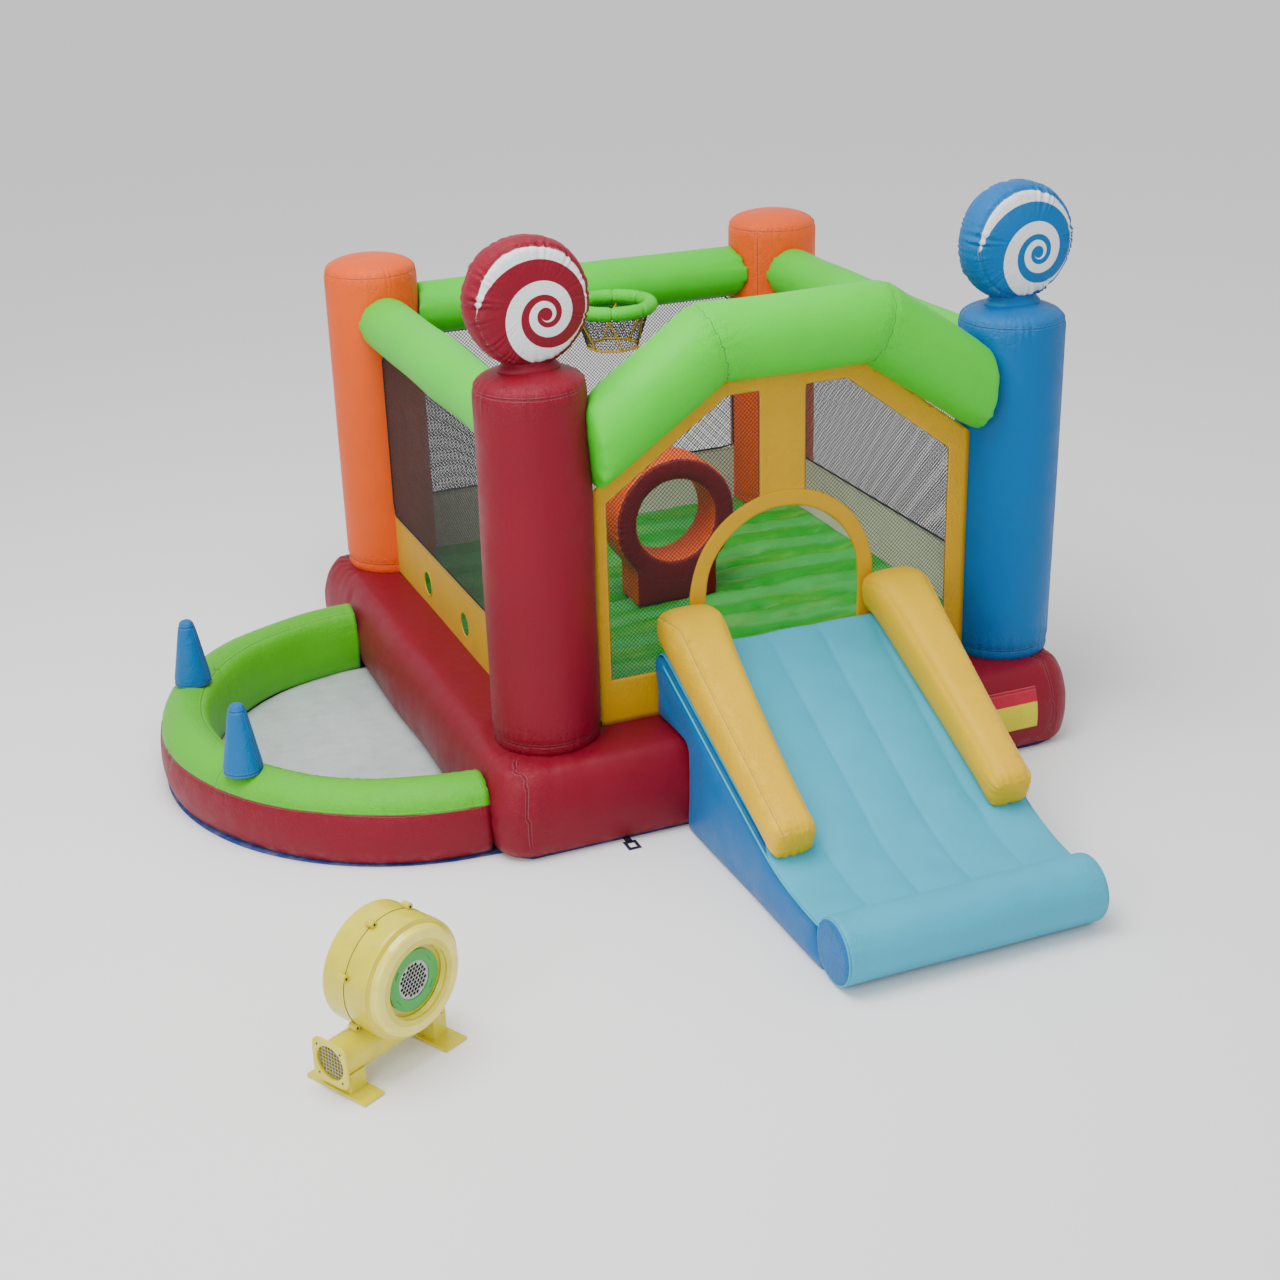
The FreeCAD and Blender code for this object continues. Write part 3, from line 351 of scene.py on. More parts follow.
def nearest_on(co, line):
    """For each point: distance to a line, place along it, way across from it, and the line's direction."""
    line = np.array(line, float)
    steps = np.linalg.norm(np.diff(line, axis=0), axis=1)
    total = steps.sum()
    fine = even(line, max(8, int(total / 0.006)))
    at = np.linspace(0, total, len(fine))
    ahead = np.gradient(fine, axis=0)
    ahead /= np.linalg.norm(ahead, axis=1)[:, None]
    index = np.zeros(len(co), int)
    for i in range(0, len(co), 2000):
        part = co[i:i + 2000]
        gap = (part**2).sum(1)[:, None] - 2 * part @ fine.T + (fine**2).sum(1)[None]
        index[i:i + 2000] = gap.argmin(1)
    away = co - fine[index]
    inline = (away * ahead[index]).sum(1)
    across = away - inline[:, None] * ahead[index]
    past_end = (index == 0) | (index == len(fine) - 1)
    distance = np.where(past_end, np.linalg.norm(away, axis=1), np.linalg.norm(across, axis=1))
    return distance, at[index] + inline, across, ahead[index]


def project_to(o, line):
    """Move each point of a line to the nearest point of the cloth."""
    bpy.context.view_layer.update()
    return np.array([tuple(o.closest_point_on_mesh(Vector(p))[1]) for p in line])


def ripple(s, pitch, seed, sharp=True):
    """Uneven folds along a sewn line, from -1 to 1."""
    rng = np.random.default_rng(seed)
    phase = np.zeros_like(s)
    for k in range(1, 6):
        phase += rng.normal(0, 1.1) * np.sin(2 * math.pi * s / (pitch * 2.3 * k) + rng.uniform(0, 6.28))
    size = 0.55 + sum(rng.normal(0, 0.24) * np.sin(2 * math.pi * s / (pitch * q) + rng.uniform(0, 6.28))
                      for q in (3.1, 5.3, 9.7, 17.0))
    fold = np.sin(math.pi * s / pitch + phase)
    fold = (np.abs(fold) - 0.64) * 1.5 if sharp else fold
    return fold * np.clip(size, 0.05, 1.2)


def gather(o, line, depth=0.004, reach=0.06, pinch=0.006, width=0.012, pitch=0.045,
           seed=1, side=None, stitched=True):
    """Puckers across a sewn line that fade away from it, and the dip of the seam itself."""
    co, normal = points_of(o), normals_of(o)
    distance, s, _, _ = nearest_on(co, line)
    uneven = 0.75 + 0.45 * ripple(s + 3.7, pitch * 2.6, seed + 50, sharp=False)
    fade = np.exp(-distance / (reach * np.clip(uneven, 0.3, 1.4)))
    move = depth * ripple(s, pitch, seed) * fade * np.clip(distance / width, 0.25, 1)
    move -= pinch * np.exp(-((distance / width) ** 2))
    if side is not None:
        move = np.where(side(co), move, 0)
    set_points(o, co + normal * move[:, None])
    if stitched:
        sew(o, line)


def sew(o, line):
    """Note a sewn line on the mesh, for its stitches and its shade."""
    co, normal = points_of(o), normals_of(o)
    distance, s, across, ahead = nearest_on(co, line)
    left = np.cross(ahead, normal)
    signed = distance * np.where((across * left).sum(1) < 0, -1, 1)
    old = SEWN.get(o.name)
    if old is None or len(old) != len(co):
        old = np.stack([np.ones(len(co)), np.ones(len(co)), np.zeros(len(co))], axis=1)
    new = np.stack([signed, distance, s], axis=1)
    SEWN[o.name] = np.where((distance < old[:, 1])[:, None], new, old)


def slack(o, size, length, seed, mask=None, squash=(1, 1, 1)):
    """Broad unevenness of filled cloth, as a few slow waves through the piece."""
    co, normal = points_of(o), normals_of(o)
    rng = np.random.default_rng(seed)
    wave = np.zeros(len(co))
    for _ in range(9):
        direction = rng.normal(size=3) * np.array(squash)
        direction /= np.linalg.norm(direction)
        pace = length * rng.uniform(0.6, 1.7)
        wave += np.sin(co @ direction * 2 * math.pi / pace + rng.uniform(0, 6.28))
    wave /= 3
    if mask is not None:
        wave = wave * mask(co, normal)
    set_points(o, co + normal * (size * wave)[:, None])


def complete(o, name, materials, nodes=(), body="house", local=True, smooth=True, angle=None):
    """Name a finished piece, give it its cloth, put it in its place and let it ride on its body."""
    old = o.name
    if local:
        o.data.transform(Matrix.Translation(ORIGIN))
    co = points_of(o)
    co[:, 2] = np.maximum(co[:, 2], 0.0006)
    set_points(o, co)
    sewn = SEWN.pop(old, None)
    if sewn is None or len(sewn) != len(o.data.vertices):
        sewn = np.tile([1.0, 1.0, 0.0], (len(o.data.vertices), 1))
    if "sewn" in o.data.attributes:
        o.data.attributes.remove(o.data.attributes["sewn"])
    field = o.data.attributes.new("sewn", "FLOAT_VECTOR", "POINT")
    field.data.foreach_set("vector", sewn.astype(np.float32).ravel())
    o.name = o.data.name = name + "_cloth" if name in NODES else name
    index = np.zeros(len(o.data.polygons), np.int32)
    o.data.polygons.foreach_get("material_index", index)
    o.data.materials.clear()
    for m in materials:
        o.data.materials.append(m)
    o.data.polygons.foreach_set("material_index", np.clip(index, 0, len(materials) - 1))
    only(o)
    if angle is not None:
        bpy.ops.object.shade_smooth_by_angle(angle=math.radians(angle))
    elif smooth:
        bpy.ops.object.shade_smooth()
    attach(o, body)
    if nodes:
        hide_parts(*nodes)
    o.select_set(False)
    return o


def paint_faces(o, number, test):
    """Give the faces whose centre and normal pass a test another cloth."""
    for p in o.data.polygons:
        if test(p.center, p.normal):
            p.material_index = number


# Cloths and finishes


class Board:
    """Adds and links the nodes of one tree."""

    def __init__(self, tree):
        self.tree = tree

    def put(self, kind, feeds=None, **settings):
        n = self.tree.nodes.new(kind)
        for key, v in settings.items():
            setattr(n, key, v)
        for key, v in (feeds or {}).items():
            self.feed(n.inputs[key], v)
        return n

    def feed(self, socket, v):
        if isinstance(v, bpy.types.NodeSocket):
            self.tree.links.new(v, socket)
        else:
            socket.default_value = v

    def math(self, operation, a, b=0.0, c=0.0, clamp=False):
        n = self.put("ShaderNodeMath", operation=operation, use_clamp=clamp)
        for socket, v in zip(n.inputs, (a, b, c)):
            self.feed(socket, v)
        return n.outputs[0]

    def mix(self, share, a, b):
        n = self.put("ShaderNodeMix", data_type="RGBA")
        for i, v in ((0, share), (6, a), (7, b)):
            self.feed(n.inputs[i], v)
        return n.outputs[2]

    def between(self, v, low, high, out_low=0.0, out_high=1.0):
        """Smooth step from low to high."""
        n = self.put("ShaderNodeMapRange", interpolation_type="SMOOTHSTEP")
        for i, x in enumerate((v, low, high, out_low, out_high)):
            self.feed(n.inputs[i], x)
        return n.outputs[0]

    def noise(self, vector, scale, detail=2.0, rough=0.5, distortion=0.0):
        n = self.put("ShaderNodeTexNoise", {"Vector": vector, "Scale": scale, "Detail": detail,
                                            "Roughness": rough, "Distortion": distortion})
        return n.outputs[0]

    def split(self, vector):
        return self.put("ShaderNodeSeparateXYZ", {0: vector}).outputs

    def scaled(self, vector, size):
        n = self.put("ShaderNodeMapping", {"Vector": vector, "Scale": size})
        return n.outputs[0]


def effect(name, inputs, outputs, build):
    """Shared effect as a node group: inputs and outputs are (name, kind, default)."""
    tree = bpy.data.node_groups.get(name)
    if tree is not None:
        return tree
    tree = bpy.data.node_groups.new(name, "ShaderNodeTree")
    for label, kind, default in inputs:
        socket = tree.interface.new_socket(name=label, in_out="INPUT", socket_type=kind)
        if default is not None:
            socket.default_value = default
    for label, kind in outputs:
        tree.interface.new_socket(name=label, in_out="OUTPUT", socket_type=kind)
    board = Board(tree)
    inside = tree.nodes.new("NodeGroupInput")
    end = tree.nodes.new("NodeGroupOutput")
    for label, v in build(board, inside.outputs).items():
        tree.links.new(v, end.inputs[label])
    return tree


def use(board, tree, **feeds):
    n = board.put("ShaderNodeGroup", node_tree=tree)
    for key, v in feeds.items():
        board.feed(n.inputs[key], v)
    return n.outputs


def cloth_tone():
    def build(b, given):
        p = given["Vector"]
        broad = b.noise(p, 1.6, 3.0, 0.55)
        patch = b.noise(p, 9.0, 4.0, 0.6)
        speck = b.noise(p, 260.0, 2.0, 0.6)
        light = b.math("ADD", b.between(broad, 0.3, 0.7, -0.5, 0.5), b.between(patch, 0.25, 0.75, -0.35, 0.35))
        light = b.math("ADD", light, b.between(speck, 0.25, 0.75, -0.5, 0.5))
        light = b.math("MULTIPLY", light, given["Unevenness"])
        toned = b.put("ShaderNodeHueSaturation", {"Color": given["Cloth"],
                                                  "Value": b.math("MULTIPLY_ADD", light, 1.6, 1.0)}).outputs[0]
        height = b.split(p)[2]
        low = b.between(height, 0.0, 0.07, 1.0, 0.0)
        dust = b.math("MULTIPLY", b.math("MULTIPLY", low, b.between(b.noise(p, 14.0, 5.0, 0.65), 0.4, 0.75)),
                      given["Dust"])
        colour = b.mix(dust, toned, (0.32, 0.29, 0.25, 1))
        rough = b.math("ADD", b.between(patch, 0.3, 0.7, -0.07, 0.07), given["Roughness"])
        return {"Colour": colour, "Roughness": b.math("ADD", rough, b.math("MULTIPLY", dust, 0.3))}
    return effect("cloth_tone",
                  (("Vector", "NodeSocketVector", None), ("Cloth", "NodeSocketColor", (0.5, 0.5, 0.5, 1)),
                   ("Unevenness", "NodeSocketFloat", 0.06), ("Dust", "NodeSocketFloat", 0.35),
                   ("Roughness", "NodeSocketFloat", 0.5)),
                  (("Colour", "NodeSocketColor"), ("Roughness", "NodeSocketFloat")), build)


def oxford_weave():
    def build(b, given):
        x, y, z = b.split(given["Vector"])
        pace = b.math("DIVIDE", 2 * math.pi, given["Thread"])
        waves = [b.math("SINE", b.math("MULTIPLY", v, pace)) for v in (x, y, z)]
        cloth = b.math("ADD", b.math("MULTIPLY", waves[0], waves[1]), b.math("MULTIPLY", waves[1], waves[2]))
        cloth = b.math("ADD", cloth, b.math("MULTIPLY", waves[2], waves[0]))
        fuzz = b.noise(given["Vector"], 420.0, 2.0, 0.7)
        return {"Height": b.math("ADD", b.math("MULTIPLY", cloth, 0.5), fuzz)}
    return effect("oxford_weave", (("Vector", "NodeSocketVector", None), ("Thread", "NodeSocketFloat", 0.0024)),
                  (("Height", "NodeSocketFloat"),), build)


def small_creases():
    def build(b, given):
        p = given["Vector"]
        wide = b.noise(p, 5.0, 3.0, 0.5, 0.6)
        fine = b.noise(p, 26.0, 4.0, 0.6, 1.2)
        ridge = b.math("SUBTRACT", 1.0, b.math("ABSOLUTE", b.math("SUBTRACT", b.math("MULTIPLY", fine, 2.0), 1.0)))
        near = b.between(given["Distance"], 0.0, 0.14, 1.0, 0.12)
        height = b.math("ADD", b.math("MULTIPLY", b.math("POWER", ridge, 3.0), near),
                        b.math("MULTIPLY", wide, 0.8))
        return {"Height": height}
    return effect("small_creases", (("Vector", "NodeSocketVector", None), ("Distance", "NodeSocketFloat", 1.0)),
                  (("Height", "NodeSocketFloat"),), build)


def seam_stitches():
    def build(b, given):
        across, distance, along = b.split(given["Seam"])
        on_seam = b.between(distance, 0.014, 0.02, 1.0, 0.0)
        side = b.math("ABSOLUTE", across)
        line = b.math("MULTIPLY", b.between(side, 0.001, 0.0032, 1.0, 0.0), on_seam)
        row = b.between(b.math("ABSOLUTE", b.math("SUBTRACT", side, 0.0065)), 0.0004, 0.0014, 1.0, 0.0)
        dash = b.math("FRACT", b.math("MULTIPLY", along, 1 / 0.009))
        stitch = b.math("MULTIPLY", b.math("MULTIPLY", row, b.between(dash, 0.58, 0.7, 1.0, 0.0)), on_seam)
        return {"Line": line, "Stitch": stitch, "Distance": distance}
    return effect("seam_stitches", (("Seam", "NodeSocketVector", None),),
                  (("Line", "NodeSocketFloat"), ("Stitch", "NodeSocketFloat"), ("Distance", "NodeSocketFloat")),
                  build)


def candy_spiral():
    """White spiral that winds out from the middle of a disc and runs off at its rim."""
    def build(b, given):
        x, _, z = b.split(given["Vector"])
        across = b.math("SUBTRACT", x, given["Offset X"])
        up = b.math("SUBTRACT", z, given["Offset Z"])
        radius = b.math("SQRT", b.math("ADD", b.math("POWER", across, 2.0), b.math("POWER", up, 2.0)))
        radius = b.math("MAXIMUM", radius, 0.002)
        turn = b.math("ARCTAN2", up, across)
        inner = b.math("SUBTRACT", b.math("DIVIDE", b.math("LOGARITHM", b.math("DIVIDE", radius, 0.049), math.e),
                                          0.157), 13.16)
        outer = b.math("SUBTRACT", b.math("DIVIDE", b.math("LOGARITHM", b.math("DIVIDE", radius, 0.077), math.e),
                                          0.135), 14.0)
        share = b.math("DIVIDE", b.math("SUBTRACT", inner, outer), 2 * math.pi)
        share = b.math("MINIMUM", share, b.math("MULTIPLY_ADD", radius, 8.0, 0.25))
        where = b.math("FRACT", b.math("DIVIDE", b.math("SUBTRACT", inner, turn), 2 * math.pi))
        edge = b.math("MULTIPLY", b.math("MINIMUM", where, b.math("SUBTRACT", share, where)), radius)
        band = b.between(edge, -0.0006, 0.0006)
        face = b.math("SQRT", b.math("ADD", b.math("POWER", x, 2.0), b.math("POWER", z, 2.0)))
        on_face = b.between(face, b.math("SUBTRACT", given["Face"], 0.001), given["Face"], 1.0, 0.0)
        hem = b.math("MULTIPLY", b.between(b.math("ABSOLUTE", edge), 0.0002, 0.0012, 1.0, 0.0), on_face)
        begun = b.between(radius, 0.0185, 0.0200)
        return {"White": b.math("MULTIPLY", b.math("MULTIPLY", band, on_face), begun),
                "Hem": b.math("MULTIPLY", hem, begun)}
    return effect("candy_spiral",
                  (("Vector", "NodeSocketVector", None), ("Offset X", "NodeSocketFloat", 0.0372),
                   ("Offset Z", "NodeSocketFloat", -0.0325), ("Face", "NodeSocketFloat", 0.2)),
                  (("White", "NodeSocketFloat"), ("Hem", "NodeSocketFloat")), build)


def mould_grain():
    def build(b, given):
        p = given["Vector"]
        wide, fine = b.noise(p, 18.0, 3.0), b.noise(p, 900.0, 2.0, 0.7)
        scuffs = b.noise(b.scaled(p, (30.0, 240.0, 60.0)), 3.0, 4.0, 0.7)
        worn = b.between(scuffs, 0.66, 0.78)
        tone = b.math("ADD", b.between(wide, 0.3, 0.7, -0.03, 0.03), b.math("MULTIPLY", worn, 0.04))
        return {"Height": b.math("ADD", fine, b.math("MULTIPLY", worn, -0.4)), "Tone": tone, "Worn": worn}
    return effect("mould_grain", (("Vector", "NodeSocketVector", None),),
                  (("Height", "NodeSocketFloat"), ("Tone", "NodeSocketFloat"), ("Worn", "NodeSocketFloat")), build)


def rgba(colour):
    return (colour[0], colour[1], colour[2], 1.0)


def begin(name):
    mat = bpy.data.materials.new(name)
    mat.use_nodes = True
    mat.node_tree.nodes.clear()
    board = Board(mat.node_tree)
    shader = board.put("ShaderNodeBsdfPrincipled")
    end = board.put("ShaderNodeOutputMaterial")
    mat.node_tree.links.new(shader.outputs[0], end.inputs[0])
    where = board.put("ShaderNodeTexCoord").outputs["Object"]
    return mat, board, shader, where


def bump(board, shader, height, distance, strength=1.0):
    n = board.put("ShaderNodeBump", {"Height": height})
    n.inputs["Distance"].default_value = distance
    n.inputs["Strength"].default_value = strength
    board.tree.links.new(n.outputs[0], shader.inputs["Normal"])


def fabric(name, colour, print_on=None, rough=0.5, unevenness=0.05, dust=0.3, relief=1.0, stitches=True,
           sheen=0.02):
    """Coated woven cloth; print_on(board, where, base) may change its colour over the surface."""
    found = bpy.data.materials.get(name)
    if found is not None:
        return found
    mat, b, shader, where = begin(name)
    base = rgba(colour)
    if print_on is not None:
        base = print_on(b, where, base)
    tone = use(b, cloth_tone(), Vector=where, Cloth=base, Unevenness=unevenness, Dust=dust, Roughness=rough)
    seam = b.put("ShaderNodeAttribute", attribute_name="sewn", attribute_type="GEOMETRY").outputs["Vector"]
    sewn = use(b, seam_stitches(), Seam=seam)
    colour_out = tone["Colour"]
    if stitches:
        dark = b.mix(0.55, colour_out, (0.004, 0.004, 0.004, 1))
        pale = b.mix(0.3, colour_out, (0.8, 0.8, 0.8, 1))
        colour_out = b.mix(b.math("MULTIPLY", sewn["Line"], 0.75), colour_out, dark)
        colour_out = b.mix(b.math("MULTIPLY", sewn["Stitch"], 0.35), colour_out, pale)
    weave = use(b, oxford_weave(), Vector=where)["Height"]
    crease = use(b, small_creases(), Vector=where, Distance=sewn["Distance"])["Height"]
    height = b.math("ADD", b.math("MULTIPLY", weave, 0.045), b.math("MULTIPLY", crease, relief))
    height = b.math("SUBTRACT", height, b.math("MULTIPLY", sewn["Line"], 0.4))
    b.feed(shader.inputs["Base Color"], colour_out)
    b.feed(shader.inputs["Roughness"], tone["Roughness"])
    shader.inputs["Sheen Weight"].default_value = sheen
    shader.inputs["Sheen Roughness"].default_value = 0.45
    shader.inputs["Specular IOR Level"].default_value = 0.25
    bump(b, shader, height, 0.0022, 0.9)
    return mat


def plastic(name, colour, rough=0.26, coat=0.22):
    found = bpy.data.materials.get(name)
    if found is not None:
        return found
    mat, b, shader, where = begin(name)
    grain = use(b, mould_grain(), Vector=where)
    shade = b.put("ShaderNodeHueSaturation", {"Color": rgba(colour),
                                              "Value": b.math("MULTIPLY_ADD", grain["Tone"], 2.0, 1.0)}).outputs[0]
    b.feed(shader.inputs["Base Color"], shade)
    b.feed(shader.inputs["Roughness"], b.math("MULTIPLY_ADD", grain["Worn"], 0.25, rough))
    shader.inputs["Coat Weight"].default_value = coat
    shader.inputs["Coat Roughness"].default_value = 0.12
    bump(b, shader, grain["Height"], 0.0004, 0.35)
    return mat


def metal(name, colour, rough=0.35, brushed=True):
    found = bpy.data.materials.get(name)
    if found is not None:
        return found
    mat, b, shader, where = begin(name)
    lines = b.noise(b.scaled(where, (60.0, 60.0, 900.0) if brushed else (300.0, 300.0, 300.0)), 2.0, 3.0, 0.6)
    patch = b.noise(where, 40.0, 3.0, 0.6)
    b.feed(shader.inputs["Base Color"], b.mix(b.between(patch, 0.35, 0.7, 0.0, 0.35), rgba(colour),
                                              rgba([c * 0.6 for c in colour])))
    b.feed(shader.inputs["Roughness"], b.math("MULTIPLY_ADD", lines, 0.25, rough - 0.1))
    shader.inputs["Metallic"].default_value = 1.0
    bump(b, shader, lines, 0.0003, 0.4)
    return mat


# What a user may change


def colour(name, description, default):
    return bpy.props.FloatVectorProperty(name=name, description=description, default=default,
                                         subtype="COLOR", size=3, min=0.0, max=1.0)


def length(name, description, default):
    return bpy.props.FloatProperty(name=name, description=description, default=default, unit="LENGTH")



class ClothColours(bpy.types.PropertyGroup):
    red: colour("Red", "Base, front left post and pool wall", (0.185, 0.0, 0.012))
    blue: colour("Blue", "Front right post, slide sides and cones", (0.0, 0.115, 0.34))
    orange: colour("Orange", "Back posts and ring edges", (0.74, 0.085, 0.0))
    green: colour("Green", "Rails, arch and ball hoop", (0.045, 0.56, 0.012))
    floor_green: colour("Floor green", "Jumping floor", (0.006, 0.3, 0.016))
    pool_green: colour("Pool green", "Top and inside of the pool wall", (0.075, 0.43, 0.008))
    yellow: colour("Yellow", "Front frame, doorway and low side band", (0.56, 0.3, 0.0))
    rail_yellow: colour("Rail yellow", "Bolsters along the slide", (0.7, 0.415, 0.0))
    light_blue: colour("Light blue", "Slide bed and end roll", (0.035, 0.35, 0.5))
    maroon: colour("Dark red", "Faces of the crawl ring", (0.19, 0.0, 0.008))
    cream: colour("Cream", "Low bands at the back and right", (0.56, 0.53, 0.42))
    white: colour("White", "Spirals on the lollipops", (0.66, 0.68, 0.7))
    pale_grey: colour("Pale grey", "Pool floor", (0.44, 0.5, 0.5))
    navy: colour("Navy", "Ground sheet", (0.01, 0.04, 0.22))


class SewingSizes(bpy.types.PropertyGroup):
    pucker: length("Pucker depth", "Depth of the folds beside a seam", 0.004)
    net_pitch: length("Net pitch", "Distance between strands of the nets", 0.0115)
    net_strand: length("Net strand", "Width of a strand of the nets", 0.0027)
    welt: length("Welt", "Radius of the corded edges of the slide", 0.004)


class BlowerFinish(bpy.types.PropertyGroup):
    shell: colour("Shell", "Housing, nozzle and feet", (0.62, 0.53, 0.01))
    ring: colour("Intake ring", "Ring round the intake grille", (0.0, 0.30, 0.012))


class StudioSettings(bpy.types.PropertyGroup):
    floor: colour("Floor", "Studio floor", (0.86, 0.86, 0.86))
    sky: bpy.props.FloatProperty(name="Surrounding light", description="Strength of the soft surrounding light",
                                 default=1.0)
    key: bpy.props.FloatProperty(name="Key light", description="Power of the main soft light", default=420.0,
                                 subtype="POWER")


STRAP_BLACK = (0.010, 0.014, 0.034)
CORD_BLACK = (0.030, 0.030, 0.034)


def cloths():
    return bpy.context.scene.bounce_cloths


def sewing():
    return bpy.context.scene.bounce_sewing


def local(board, where):
    """Object coordinates measured from the axis of the front left post."""
    n = board.put("ShaderNodeMapping", {"Vector": where, "Location": tuple(-ORIGIN)})
    return n.outputs[0]


def plain(name, key, **more):
    return fabric(name, getattr(cloths(), key), **more)


# Stage

VIEW_YAW, VIEW_PITCH, VIEW_ROLL = math.radians(22.048), math.radians(23.242), math.radians(-1.733)
VIEW_PLACE = (-2.54261, -6.62515, 3.47821)
VIEW_LENS, VIEW_SENSOR = 55.135, 36.0


class BOUNCE_OT_stage(bpy.types.Operator):
    """Lay the studio floor, hang the lights and set the camera"""
    bl_idname = "bounce.stage"
    bl_label = "Stage and camera"

    def execute(self, context):
        settings = context.scene.bounce_studio
        nothing_selected()
        bpy.ops.mesh.primitive_plane_add(size=600, location=(0, 0, -0.002))
        floor = context.object
        floor.name = "studio_floor"
        mat, b, shader, where = begin("studio_floor")
        grain = b.noise(where, 3.0, 3.0)
        b.feed(shader.inputs["Base Color"], b.mix(b.between(grain, 0.3, 0.7, 0.0, 0.02), rgba(settings.floor),
                                                  (0.8, 0.8, 0.8, 1)))
        shader.inputs["Roughness"].default_value = 0.9
        floor.data.materials.append(mat)
        world = bpy.data.worlds.new("soft_light")
        world.use_nodes = True
        sky = world.node_tree.nodes["Background"]
        sky.inputs["Color"].default_value = (1.0, 1.0, 1.0, 1)
        sky.inputs["Strength"].default_value = settings.sky
        context.scene.world = world
        for name, place, size, power in (("overhead_light", (-1.5, -1.0, 6.0), 4.0, settings.key),
                                         ("side_light", (-5.0, -5.0, 3.5), 3.0, settings.key * 0.35)):
            nothing_selected()
            bpy.ops.object.light_add(type="AREA", location=place)
            lamp = context.object
            lamp.name = name
            lamp.data.size, lamp.data.energy = size, power
            lamp.rotation_mode = "QUATERNION"
            lamp.rotation_quaternion = (Vector((0, 0, 0.6)) - Vector(place)).to_track_quat("-Z", "Y")
        yaw, pitch, roll = VIEW_YAW, VIEW_PITCH, VIEW_ROLL
        ahead = Vector((math.sin(yaw) * math.cos(pitch), math.cos(yaw) * math.cos(pitch), -math.sin(pitch)))
        right = Vector((math.cos(yaw), -math.sin(yaw), 0))
        up = right.cross(ahead)
        right, up = (math.cos(roll) * right + math.sin(roll) * up, math.cos(roll) * up - math.sin(roll) * right)
        nothing_selected()
        bpy.ops.object.camera_add()
        camera = context.object
        turn = Matrix((right, up, -ahead)).transposed().to_4x4()
        camera.matrix_world = Matrix.Translation(VIEW_PLACE) @ turn
        camera.data.lens, camera.data.sensor_width = VIEW_LENS, VIEW_SENSOR
        camera.data.clip_end = 200
        context.scene.camera = camera
        return {"FINISHED"}


# Base, floor and posts


